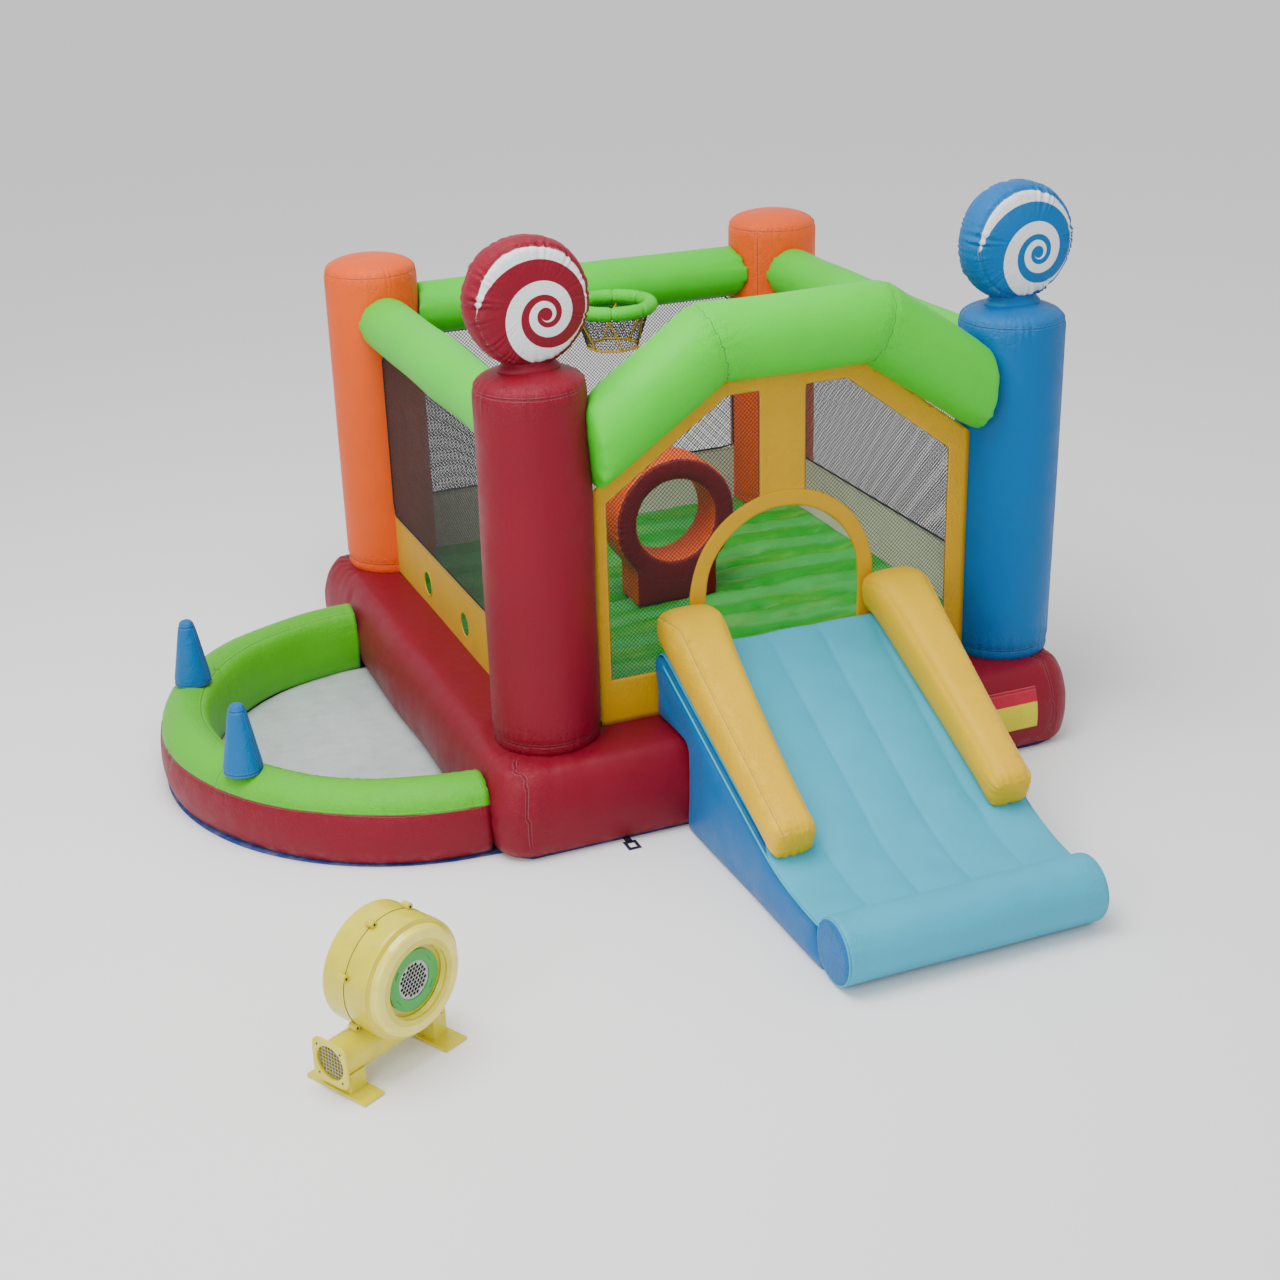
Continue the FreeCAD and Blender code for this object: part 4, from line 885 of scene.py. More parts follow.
class BOUNCE_OT_base(bpy.types.Operator):
    """Sew the four base walls as one filled ring with corner seams"""
    bl_idname = "bounce.base"
    bl_label = "Base walls"

    def execute(self, context):
        left, front = -local_box("base_left")[0].x, -local_box("base_front")[0].y
        right = local_box("base_right")[1].x - PITCH_X
        back = local_box("base_back")[1].y - PITCH_Y
        corner = 0.13
        low, high = (-left, -front), (PITCH_X + right, PITCH_Y + back)
        turn = np.linspace(0, math.pi / 2, 14)
        outline = []
        for cx, cy, start in ((high[0], high[1], 0), (low[0], high[1], 1), (low[0], low[1], 2), (high[0], low[1], 3)):
            x = cx - math.copysign(corner, cx - PITCH_X / 2)
            y = cy - math.copysign(corner, cy - PITCH_Y / 2)
            a = turn + start * math.pi / 2
            outline += [(x + corner * math.cos(t), y + corner * math.sin(t)) for t in a]
        outline = even(outline + outline[:1], 451)[:-1]
        inner = np.stack([np.clip(outline[:, 0], 0, PITCH_X), np.clip(outline[:, 1], 0, PITCH_Y)], axis=1)
        rings = []
        for o, i in zip(outline, inner):
            width = np.linalg.norm(o - i)
            away = (o - i) / width
            soft = min(max((width - 0.19) / 0.09, 0.0), 1.0)
            top = BASE_TOP + 0.002
            ends = [(0.0, 0.002), (width * 0.45, 0.002), (width * 0.8, 0.003), (width * 0.92, 0.010),
                    (width * 0.985, 0.045), (width + 0.006, 0.11), (width + 0.006, 0.17),
                     (width * (0.995 - 0.012 * soft), 0.235 - 0.01 * soft),
                     (width * (0.965 - 0.055 * soft), 0.290 - 0.008 * soft),
                     (width * (0.88 - 0.10 * soft), top - 0.012), (width * (0.74 - 0.14 * soft), top - 0.001),
                     (width * 0.36, top), (0.0, BASE_TOP)]
            section = even(smooth_line(ends, 120).tolist() + [(0.0, BASE_TOP * 0.5), ends[0]], 61)[:-1]
            rings.append([(*(i + away * a), z) for a, z in section])
        o = swept("base_walls", rings, around=True)
        slack(o, 0.005, 0.9, 3, lambda co, n: (np.abs(n[:, 2]) < 0.9) & (co[:, 2] < BASE_TOP - 0.01))
        for k, (x, y, sign) in enumerate(((-0.235, -front, -1), (PITCH_X + right - 0.1, -front, -1),
                                          (-0.2, PITCH_Y + back, 1), (PITCH_X + right - 0.1, PITCH_Y + back, 1))):
            hook = [(x, y + sign * 0.2, 0.01), (x, y + sign * 0.2, 0.2), (x, y + sign * 0.05, 0.42),
                    (x, y - sign * 0.1, 0.5), (x * 0.96 + 0.04 * PITCH_X / 2, y - sign * 0.17, 0.5)]
            line = project_to(o, smooth_line(hook, 40))
            gather(o, line, depth=0.0038, reach=0.055, pinch=0.006, width=0.011, pitch=0.03, seed=20 + k)
        for k, (x, y) in enumerate(((0, 0), (PITCH_X, 0), (0, PITCH_Y), (PITCH_X, PITCH_Y))):
            gather(o, loop((x, y, BASE_TOP), 0.2), depth=0.013, reach=0.095, pinch=0.010, width=0.028,
                   pitch=0.046, seed=5 + k, stitched=False)
        for k, y in enumerate((-0.12 - 0.1, PITCH_Y - 0.35 + 0.1)):
            line = project_to(o, np.linspace((-left - 0.02, y, 0.02), (-left - 0.01, y, 0.3), 30))
            gather(o, line, depth=0.010, reach=0.08, pinch=0.008, width=0.02, pitch=0.042, seed=31 + k, stitched=False)
        co = points_of(o)
        under_floor = ((np.abs(co[:, 0] - PITCH_X / 2) < PITCH_X / 2 + 0.03)
                       & (np.abs(co[:, 1] - PITCH_Y / 2) < PITCH_Y / 2 + 0.03))
        co[:, 2] = np.where(under_floor, np.minimum(co[:, 2], BASE_TOP + 0.002), co[:, 2])
        zip_low, zip_high = local_box("zip")
        off_zip = np.hypot(*(np.maximum(abs(co[:, k] - (zip_low[k] + zip_high[k]) / 2)
                                        - (zip_high[k] - zip_low[k]) / 2, 0) for k in (0, 2)))
        flat = np.where(off_zip < 0.06, zip_low.y - 0.0005 + 3.0 * off_zip ** 2, np.inf)
        co[:, 1] = np.minimum(co[:, 1], flat)
        set_points(o, co)
        complete(o, "base_walls", [plain("red_cloth", "red", dust=0.25)],
                 ("base_left", "base_front", "base_right", "base_back"))
        return {"FINISHED"}


class BOUNCE_OT_floor(bpy.types.Operator):
    """Sew the jumping floor with its channels across"""
    bl_idname = "bounce.floor"
    bl_label = "Jumping floor"

    def execute(self, context):
        gap, channel = -0.022, 0.1218
        low, high = local_box("jump_floor")

        def place(u, v):
            x = low.x + gap + u * (high.x - low.x - 2 * gap)
            y = low.y + gap + v * (high.y - low.y - 2 * gap)
            wander = 0.012 * np.sin(x * 3.1 + 1.0) + 0.006 * np.sin(x * 9.0 + y * 2)
            wave = np.abs(np.sin(math.pi * (y - low.y + wander) / channel)) ** 0.55
            rim = np.minimum(np.minimum(x - low.x, high.x - x), np.minimum(y - low.y, high.y - y))
            z = high.z + 0.006 - 0.033 * (1 - wave) * np.clip((rim - 0.015) / 0.06, 0, 1) ** 0.5
            return np.stack([x, y, z], axis=1)

        o = grid("jump_floor", 110, 260, place)
        slack(o, 0.0035, 0.22, 8, squash=(1, 1, 0.2))
        slack(o, 0.0018, 0.07, 9, squash=(1, 0.3, 0.2))
        co = points_of(o)
        co[:, 2] = np.minimum(co[:, 2], high.z + 0.008)
        set_points(o, co)
        only(o)
        bpy.ops.object.mode_set(mode="EDIT")
        bpy.ops.mesh.select_all(action="SELECT")
        bpy.ops.mesh.extrude_region_move(TRANSFORM_OT_translate={"value": (0, 0, -0.30)})
        bpy.ops.mesh.select_all(action="SELECT")
        bpy.ops.mesh.normals_make_consistent(inside=False)
        bpy.ops.object.mode_set(mode="OBJECT")

        # Floor print: gold streaks, plus pale rows that are a painted highlight along the channels.
        def stripes_and_painted_highlights(b, where, base):
            y = b.split(local(b, where))[1]
            bend = b.math("MULTIPLY", b.noise(where, 1.3, 2.0), 0.35)
            row = b.math("MULTIPLY", b.math("ADD", y, bend), 1 / (2 * channel))
            # Painted highlight: every other channel row is mixed a little towards pale green, standing in for the
            # shine along the channels.
            painted_highlight_rows = b.between(b.math("SINE", b.math("MULTIPLY", row, 2 * math.pi)), -0.5, 0.5)
            streak = b.noise(b.scaled(where, (1.2, 9.0, 1.0)), 2.0, 4.0, 0.6)
            pale = b.mix(b.math("MULTIPLY", painted_highlight_rows, 0.2), base, (0.16, 0.60, 0.25, 1))
            gold = b.between(streak, 0.5, 0.68, 0.0, 0.45)
            return b.mix(gold, pale, (0.16, 0.36, 0.03, 1))

        cloth = plain("floor_cloth", "floor_green", print_on=stripes_and_painted_highlights, rough=0.42, dust=0.0, unevenness=0.09,
                      relief=1.4)
        complete(o, "jump_floor", [cloth], ("jump_floor", "floor_baffles"))
        return {"FINISHED"}


POSTS = (("front_left", 0, 0, "red"), ("front_right", 1, 0, "blue"), ("back_left", 0, 1, "orange"),
         ("back_right", 1, 1, "orange"))


class BOUNCE_OT_posts(bpy.types.Operator):
    """Fill the four corner posts"""
    bl_idname = "bounce.posts"
    bl_label = "Corner posts"

    def execute(self, context):
        low, high = local_box("post_front_left")
        r = high.x
        seam = high.z - 0.065
        profile = smooth_line([(0, low.z - 0.03), (r - 0.04, low.z - 0.03), (r - 0.011, low.z - 0.012),
                               (r - 0.004, low.z + 0.012), (r - 0.001, low.z + 0.09), (r, low.z + 0.3),
                               (r, low.z + 0.7), (r, low.z + 1.0), (r, seam - 0.07), (r - 0.002, seam - 0.015),
                               (r - 0.008, seam + 0.012), (r - 0.03, seam + 0.034), (r - 0.07, seam + 0.05),
                               (r - 0.12, seam + 0.06), (0, high.z)], 150)
        size = sewing()
        for k, (name, i, j, key) in enumerate(POSTS):
            o = turned("post_" + name, profile, segments=190)
            slack(o, 0.0022, 0.5, 40 + k, lambda co, n: np.abs(n[:, 2]) < 0.5, squash=(1, 1, 0.3))
            gather(o, loop((0, 0, seam), r), depth=size.pucker * 1.7, reach=0.045, pinch=0.003,
                   width=0.008, pitch=0.036, seed=60 + k)
            gather(o, loop((0, 0, low.z + 0.03), r), depth=size.pucker * 1.5, reach=0.05, pinch=0.004,
                   width=0.01, pitch=0.04, seed=70 + k)
            back = np.array([(-0.141 if i else 0.141), 0.141 * (-1 if j else 1), 0.0])
            sew(o, np.array([back + (0, 0, low.z + 0.04), back + (0, 0, seam)]))
            o.data.transform(Matrix.Translation((i * PITCH_X, j * PITCH_Y, 0)))
            complete(o, "post_" + name, [plain(key + "_cloth", key)], ("post_" + name,))
        return {"FINISHED"}


class BOUNCE_OT_lollipops(bpy.types.Operator):
    """Fill the two round sweets on the front posts"""
    bl_idname = "bounce.lollipops"
    bl_label = "Lollipops"

    def execute(self, context):
        for k, (side, key) in enumerate((("left", "red"), ("right", "blue"))):
            low, high = local_box("lollipop_" + side)
            centre = (low + high) / 2
            r, half = (high.z - low.z) / 2, (high.y - low.y) / 2
            face = 0.2
            arc = [(0, half + 0.003), (0.09, half), (0.15, half - 0.008), (0.185, half - 0.018),
                   (face, half - 0.028), (0.213, half - 0.05), (r - 0.0005, half - 0.08), (r, 0)]
            profile = smooth_line([(a, -b) for a, b in arc] + [(a, b) for a, b in arc[-2::-1]], 110)
            o = turned("sweet", profile, axis="Y", segments=250)
            for n, y in enumerate((-1, 1)):
                gather(o, loop((0, y * (half - 0.028), 0), face, "Y"), depth=0.0125, reach=0.05,
                       pinch=0.0075, width=0.011, pitch=0.037, seed=80 + 2 * k + n)
            slack(o, 0.002, 0.2, 90 + k)
            co = points_of(o)
            floor = -r + 0.012
            co[:, 2] = np.where(co[:, 2] < floor, floor - (floor - co[:, 2]) * 0.5, co[:, 2])
            set_points(o, co)
            neck = turned("neck", smooth_line([(0, -0.03), (0.1, -0.022), (0.112, -0.008), (0.1, 0.006), (0.09, 0.02),
                                               (0.095, 0.034), (0.11, 0.05), (0, 0.06)], 40), segments=72)
            co = points_of(neck)
            co[:, 1] *= 0.72
            co[:, 2] += -r + 0.002
            set_points(neck, co)
            gather(neck, loop((0, 0, -r + 0.018), 0.09), depth=0.004, reach=0.02, pinch=0, pitch=0.022,
                   seed=84 + k, stitched=False)
            seam = SEWN["sweet"]
            SEWN["sweet"] = np.concatenate([seam, np.tile([1.0, 1.0, 0.0], (len(neck.data.vertices), 1))])
            o = joined("sweet", o, neck)
            o.data.transform(Matrix.Translation(centre))
            axis = Vector(centre) + ORIGIN

            def print_on(b, where, base, axis=axis, half=half):
                p = b.put("ShaderNodeMapping", {"Vector": where, "Location": tuple(-axis)}).outputs[0]
                spiral = use(b, candy_spiral(), Vector=p, Face=face)
                faced = b.between(b.math("ABSOLUTE", b.split(p)[1]), half - 0.034, half - 0.031)
                white = b.mix(b.math("MULTIPLY", spiral["White"], faced), base, rgba(cloths().white))
                edge = b.math("MULTIPLY", b.math("MULTIPLY", spiral["Hem"], faced), 0.55)
                return b.mix(edge, white, (base[0] * 0.4, base[1] * 0.4, base[2] * 0.4, 1))

            complete(o, "lollipop_" + side, [plain("sweet_cloth_" + side, key, print_on=print_on)],
                     ("lollipop_" + side,))
        return {"FINISHED"}


# Rails and arch


class BOUNCE_OT_rails(bpy.types.Operator):
    """Fill the three side rails between the posts"""
    bl_idname = "bounce.rails"
    bl_label = "Side rails"

    def execute(self, context):
        for k, name in enumerate(("left", "right", "back")):
            low, high = local_box("rail_" + name)
            o = outer_skin("rail", "rail_" + name)
            remesh(o, 0.016)
            axis = "X" if name == "back" else "Y"
            centre = (low + high) / 2
            r = (high.z - low.z) / 2
            along = 0 if axis == "X" else 1
            co = points_of(o)
            inflate(o, 0.006, (co[:, along] < low[along] + 0.05) | (co[:, along] > high[along] - 0.05))
            relax(o, 4)
            slack(o, 0.002, 0.5, 100 + k)
            for n, end in enumerate((low, high)):
                c = centre.copy()
                c[along] = end[along] + (0.035 if n == 0 else -0.035)
                gather(o, loop(c, r, axis), depth=0.0035, reach=0.05, pinch=0.002, width=0.01,
                       pitch=0.034, seed=110 + 2 * k + n, stitched=False)
            complete(o, "rail_" + name, [plain("green_cloth", "green")], ("rail_" + name,))
        return {"FINISHED"}


ARCH_LEVEL_HALF = 0.328
MITRE_LEAN = math.radians(17.1)
ARCH_END_X, ARCH_END_Z = 0.172, 1.43


class BOUNCE_OT_arch(bpy.types.Operator):
    """Fill the bent arch over the front"""
    bl_idname = "bounce.arch"
    bl_label = "Front arch"

    def execute(self, context):
        low, high = local_box("arch_level")
        r = (high.z - low.z) / 2
        axis_y, axis_z = (low.y + high.y) / 2, high.z - r
        reach = math.tan(MITRE_LEAN)
        mitres = []
        middle_x, half = (low.x + high.x) / 2, ARCH_LEVEL_HALF
        for sign in (-1, 1):
            t = np.linspace(0, 2 * math.pi, 120)
            z = r * np.sin(t)
            mitres.append(np.stack([middle_x + sign * (half + z * reach), axis_y + r * np.cos(t), axis_z + z], axis=1))
        o = outer_skin("arch", "arch_left", "arch_level", "arch_right")
        only(o)
        bpy.ops.object.mode_set(mode="EDIT")
        for x, sign in ((ARCH_END_X, 1), (PITCH_X - ARCH_END_X, -1)):
            bpy.ops.mesh.select_all(action="SELECT")
            bpy.ops.mesh.bisect(plane_co=(x, 0, ARCH_END_Z), plane_no=(sign, 0, 0.12), clear_inner=True, use_fill=True)
        bpy.ops.object.mode_set(mode="OBJECT")
        remesh(o, 0.0155)
        relax(o, 3)
        co = points_of(o)
        held = np.zeros(len(co), bool)
        for m in mitres:
            held |= nearest_on(co, m)[0] < 0.012
        inflate(o, 0.010, held)
        relax(o, 4)
        slack(o, 0.002, 0.45, 120)
        for k, m in enumerate(mitres):
            gather(o, m, depth=0.0055, reach=0.07, pinch=0.007, width=0.011, pitch=0.036, seed=121 + k)
        for k, node in enumerate(("post_front_left", "post_front_right")):
            c = middle(node) - ORIGIN
            side = 1 if k == 0 else -1
            ring = circle((c.x + side * 0.17, axis_y, ARCH_END_Z), 0.15, "X")
            gather(o, ring_line(ring), depth=0.004, reach=0.06, pinch=0.0, width=0.02, pitch=0.04, seed=124 + k,
                   stitched=False)
        complete(o, "front_arch", [plain("green_cloth", "green")],
                 ("arch_left", "arch_level", "arch_right"))
        return {"FINISHED"}


# Front frame, doorway, nets and bands


def flat_panel(name, axis, at, low, high, cells, cuts, keep, thickness, billow=0.0, seed=1):
    """Cloth panel in a plane: cut along lines, keep(a, b) says which cells stay, then given its thickness."""
    def place(u, v):
        a, z = low[0] + u * (high[0] - low[0]), low[1] + v * (high[1] - low[1])
        flat = np.full_like(a, at)
        return np.stack([a, flat, z] if axis == "Y" else [flat, a, z], axis=1)

    o = grid(name, cells[0], cells[1], place)
    only(o)
    bpy.ops.object.mode_set(mode="EDIT")
    for (a0, z0), (a1, z1) in cuts:
        bpy.ops.mesh.select_all(action="SELECT")
        away = (z1 - z0, -(a1 - a0))
        co, no = ((a0, at, z0), (away[0], 0, away[1])) if axis == "Y" else ((at, a0, z0), (0, away[0], away[1]))
        bpy.ops.mesh.bisect(plane_co=Vector(co) + o.location, plane_no=no)
    bpy.ops.object.mode_set(mode="OBJECT")
    bm = bmesh.new()
    bm.from_mesh(o.data)
    along = 0 if axis == "Y" else 1
    gone = [f for f in bm.faces if not keep(f.calc_center_median()[along], f.calc_center_median()[2])]
    bmesh.ops.delete(bm, geom=gone, context="FACES")
    bmesh.ops.dissolve_degenerate(bm, dist=0.0005, edges=bm.edges)
    bm.to_mesh(o.data)
    bm.free()
    if billow:
        rng = np.random.default_rng(seed)
        co = points_of(o)
        wave = sum(np.sin(co[:, along] * rng.uniform(2, 9) + co[:, 2] * rng.uniform(-9, 9) + rng.uniform(0, 6.28))
                   for _ in range(6)) / 3
        co[:, 1 if axis == "Y" else 0] += billow * wave
        set_points(o, co)
    apply(o, "SOLIDIFY", thickness=thickness, offset=0)
    return o


def outline_cuts(points):
    return list(zip(points, points[1:] + points[:1]))


def inside(points, a, z):
    """Whether a point is inside a convex outline given anticlockwise."""
    return all((a1 - a0) * (z - z0) - (z1 - z0) * (a - a0) > 0 for (a0, z0), (a1, z1) in outline_cuts(points))


SILL, SHOULDER, TOP = local_box("net_front_left")[0].z - 0.001, 1.195, local_box("net_front_left")[1].z + 0.001
WINDOW_LEFT = ((0.243, SILL), (0.844, SILL), (0.844, TOP), (0.719, TOP), (0.243, SHOULDER))
WINDOW_RIGHT = ((1.032, SILL), (1.635, SILL), (1.635, SHOULDER), (1.199, TOP), (1.032, TOP))
DOOR_X = (local_box("doorway_arch")[0].x + local_box("doorway_arch")[1].x) / 2
DOOR_Z = local_box("doorway_arch")[1].z - 0.38
DOOR_MIDDLE = 0.3475


def in_doorway(a, z):
    return math.hypot(a - DOOR_X, max(z - DOOR_Z, 0.0)) < DOOR_MIDDLE


def upright(node):
    """Where an upright sheet stands: the axis across it, its place on that axis, its ends and its box."""
    low, high = local_box(node)
    if high.x - low.x > high.y - low.y:
        return "Y", (low.y + high.y) / 2, low.x, high.x, low, high
    return "X", (low.x + high.x) / 2, low.y, high.y, low, high


def on_panel(axis, at, points):
    """Points (along, height) of an upright sheet as places in space."""
    return np.array([(a, at, z) if axis == "Y" else (at, a, z) for a, z in points])


class BOUNCE_OT_front(bpy.types.Operator):
    """Cut the front frame with its windows and bend the doorway arch"""
    bl_idname = "bounce.front"
    bl_label = "Front frame and doorway"

    def execute(self, context):
        low, high = local_box("front_frame")
        y = (low.y + high.y) / 2
        roof = ((low.x, low.z), (high.x, low.z), (high.x, 1.250), (1.268, high.z), (0.652, high.z), (low.x, 1.250))
        cuts = outline_cuts(list(WINDOW_LEFT)) + outline_cuts(list(WINDOW_RIGHT)) + outline_cuts(list(roof))

        def keep(a, z):
            in_window = inside(WINDOW_LEFT, a, z) or inside(WINDOW_RIGHT, a, z)
            return inside(roof, a, z) and not in_window and not in_doorway(a, z)

        o = flat_panel("front_frame", "Y", y, (low.x, low.z), (high.x, high.z), (76, 62), cuts, keep, 0.003, 0.0012, 5)
        for w in (WINDOW_LEFT, WINDOW_RIGHT):
            sew(o, even(np.array([(a, y - 0.0015, z) for a, z in (*w, w[0])]), 300))
        complete(o, "front_frame", [plain("yellow_cloth", "yellow", dust=0)], ("front_frame",))
        turn = np.linspace(math.pi, 0, 61)
        y = (local_box("doorway_arch")[0].y + local_box("doorway_arch")[1].y) / 2
        legs = np.linspace(low.z + 0.003, DOOR_Z, 18, endpoint=False)
        path = [(DOOR_X - DOOR_MIDDLE, z, (-1, 0)) for z in legs]
        path += [(DOOR_X + DOOR_MIDDLE * math.cos(t), DOOR_Z + DOOR_MIDDLE * math.sin(t), (math.cos(t), math.sin(t)))
                 for t in turn]
        path += [(DOOR_X + DOOR_MIDDLE, z, (1, 0)) for z in legs[::-1]]
        section = rounded_section(0.0322, 0.0058, 5, 20)
        rings = [[(x + a * d[0], y + b, z + a * d[1]) for a, b in section] for x, z, d in path]
        o = swept("doorway_arch", rings)
        slack(o, 0.0012, 0.12, 6)
        complete(o, "doorway_arch", [plain("yellow_cloth", "yellow", dust=0)], ("doorway_arch",))
        return {"FINISHED"}


def net_of_strands(name, axis, at, outline, hole=None, width=None):
    """Knotless net: strands both ways on the slant, trimmed to a convex outline."""
    pitch, width = sewing().net_pitch * math.sqrt(2), width or sewing().net_strand
    a0, a1 = min(p[0] for p in outline), max(p[0] for p in outline)
    z0, z1 = min(p[1] for p in outline), max(p[1] for p in outline)
    wide, tall = a1 - a0, z1 - z0
    reach = (wide + tall) / 2 * math.sqrt(2) * 0.75 + 0.2
    parts = []
    for lean in (-1, 1):
        count = int((wide + tall) / pitch) + 2
        nothing_selected()
        bpy.ops.mesh.primitive_cube_add(size=1)
        strand = bpy.context.object
        strand.name = name
        pieces = 1 if hole is None else int(2 * reach / 0.02)
        co = points_of(strand)
        if pieces > 1:
            only(strand)
            bpy.ops.object.mode_set(mode="EDIT")
            bpy.ops.mesh.select_all(action="SELECT")
            for k in range(1, pieces):
                bpy.ops.mesh.select_all(action="SELECT")
                bpy.ops.mesh.bisect(plane_co=(-0.5 + k / pieces, 0, 0), plane_no=(1, 0, 0))
            bpy.ops.object.mode_set(mode="OBJECT")
            co = points_of(strand)
        flat = co * (2 * tall * 1.5, 0.0014, width)
        c = math.sqrt(0.5)
        a = flat[:, 0] * c - lean * flat[:, 2] * c
        z = lean * flat[:, 0] * c + flat[:, 2] * c
        start = (a0 + a1) / 2 - pitch * (count - 1) / 2
        across = at + flat[:, 1] + lean * 0.0004
        turned_co = [a + start, across, z + (z0 + z1) / 2]
        if axis == "X":
            turned_co = [across, a + start, z + (z0 + z1) / 2]
        set_points(strand, np.stack(turned_co, axis=1))
        step = (pitch, 0, 0) if axis == "Y" else (0, pitch, 0)
        apply(strand, "ARRAY", count=count, use_relative_offset=False, use_constant_offset=True,
              constant_offset_displace=step)
        parts.append(strand)
    o = joined(name, *parts)
    only(o)
    bpy.ops.object.mode_set(mode="EDIT")
    for (p0, q0), (p1, q1) in outline_cuts(list(outline)):
        bpy.ops.mesh.select_all(action="SELECT")
        away = (q1 - q0, -(p1 - p0))
        co, no = ((p0, at, q0), (away[0], 0, away[1])) if axis == "Y" else ((at, p0, q0), (0, away[0], away[1]))
        bpy.ops.mesh.bisect(plane_co=co, plane_no=no, clear_outer=True, use_fill=True)
    bpy.ops.object.mode_set(mode="OBJECT")
    if hole is not None:
        bm = bmesh.new()
        bm.from_mesh(o.data)
        gone = [f for f in bm.faces if hole(f.calc_center_median()[0], f.calc_center_median()[2])]
        bmesh.ops.delete(bm, geom=gone, context="FACES")
        bm.to_mesh(o.data)
        bm.free()
        close_ends(o)
    return o


class BOUNCE_OT_nets(bpy.types.Operator):
    """Lay the strands of the nets of the windows, sides and back, and bind the edges of the side and back nets"""
    bl_idname = "bounce.nets"
    bl_label = "Safety nets"

    def execute(self, context):
        cord = fabric("net_cord", CORD_BLACK, stitches=False, rough=0.7, relief=0.2, dust=0.0)
        binding = fabric("black_binding", (0.012, 0.012, 0.012), stitches=False, rough=0.6, dust=0.0)

        for side, outline in (("left", WINDOW_LEFT), ("right", WINDOW_RIGHT)):
            low, high = local_box("net_front_" + side)
            o = net_of_strands("net", "Y", (low.y + high.y) / 2, outline, in_doorway, 0.0016)
            complete(o, "net_front_" + side, [cord], ("net_front_" + side,), smooth=False)
        for side in ("left", "right", "back"):
            axis, at, a0, a1, low, high = upright("net_" + side)
            outline = ((a0, low.z), (a1, low.z), (a1, high.z), (a0, high.z))
            o = net_of_strands("net", axis, at, outline)
            complete(o, "net_" + side, [cord], ("net_" + side,), smooth=False)
            edge = [(a0, low.z + 0.002), (a1, low.z + 0.002), (a1, high.z - 0.003), (a0, high.z - 0.003)]
            path = on_panel(axis, at, (*edge, edge[0]))
            o = tube("binding", even(path, 60)[:-1], 0.0042, 6, around=True)
            complete(o, "net_binding_" + side, [binding])
        return {"FINISHED"}


BALL_HOLES = (("front", 0.863), ("back", 1.366))
BALL_HOLE_Z = 0.44


class BOUNCE_OT_bands(bpy.types.Operator):
    """Cut the low cloth bands under the nets, two ball holes in the left one"""
    bl_idname = "bounce.bands"
    bl_label = "Low bands"

    def execute(self, context):
        for k, (side, key) in enumerate((("left", "yellow"), ("right", "cream"), ("back", "cream"))):
            axis, at, a0, a1, low, high = upright("band_" + side)
            o = flat_panel("band", axis, at, (a0, low.z), (a1, high.z), (100, 16), [], lambda a, z: True,
                           0.0016, 0.0018, 11 + k)
            if side == "left":
                for place, y in BALL_HOLES:
                    nothing_selected()
                    bpy.ops.mesh.primitive_cylinder_add(vertices=48, radius=0.05, depth=0.2,
                                                        location=(at, y, BALL_HOLE_Z),
                                                        rotation=(0, math.pi / 2, 0))
                    punch = context.object
                    apply(o, "BOOLEAN", operation="DIFFERENCE", object=punch, solver="EXACT")
                    bpy.data.objects.remove(punch)
                    hem = tube("hem", circle((at, y, BALL_HOLE_Z), 0.052, "X", 48), 0.0028, 6, around=True)
                    complete(hem, "hole_hem_" + place, [plain(key + "_cloth", key, dust=0)])
            sew(o, even(on_panel(axis, at, [(a, high.z - 0.012) for a in (a0, a1)]), 40))
            complete(o, "band_" + side, [plain(key + "_cloth", key, dust=0, unevenness=0.08)],
                     ("band_" + side,), angle=40)
        return {"FINISHED"}


# Inside: crawl ring and ball hoop


class BOUNCE_OT_crawl_ring(bpy.types.Operator):
    """Fill the crawl-through ring on its block"""
    bl_idname = "bounce.crawl_ring"
    bl_label = "Crawl ring"

    def execute(self, context):
        low, high = local_box("tunnel_ring")
        centre, r = (low + high) / 2, (high.z - low.z) / 2
        half = (high.y - low.y) / 2
        hole = 0.176
        o = outer_skin("ring", "tunnel_ring", "tunnel_foot")
        remesh(o, 0.0105)
        relax(o, 6)
        co = points_of(o)
        seam_plane = np.abs(np.abs(co[:, 1] - centre.y) - (half - 0.012)) < 0.008
        inflate(o, 0.008, seam_plane | (co[:, 2] < BASE_TOP + 0.03))
        subdivide(o)
        for k, y in enumerate((centre.y - half + 0.008, centre.y + half - 0.008)):
            gather(o, loop((centre.x, y, centre.z), r - 0.006, "Y"), depth=0.0045, reach=0.035,
                   pinch=0.004, width=0.009, pitch=0.028, seed=130 + k,
                   side=lambda p: p[:, 2] > BASE_TOP + 0.17)
            gather(o, loop((centre.x, y, centre.z), hole + 0.006, "Y"), depth=0.003, reach=0.03,
                   pinch=0.004, width=0.008, pitch=0.026, seed=133 + k)
        edge = half - 0.009

        def print_on(b, where, base):
            y = b.split(local(b, where))[1]
            side = b.math("ABSOLUTE", b.math("SUBTRACT", y, centre.y))
            return b.mix(b.between(side, edge - 0.0006, edge + 0.0006), rgba(cloths().orange), base)

        complete(o, "crawl_ring", [plain("ring_cloth", "maroon", print_on=print_on, dust=0, relief=1.3)],
                 ("tunnel_ring", "tunnel_foot"))
        return {"FINISHED"}


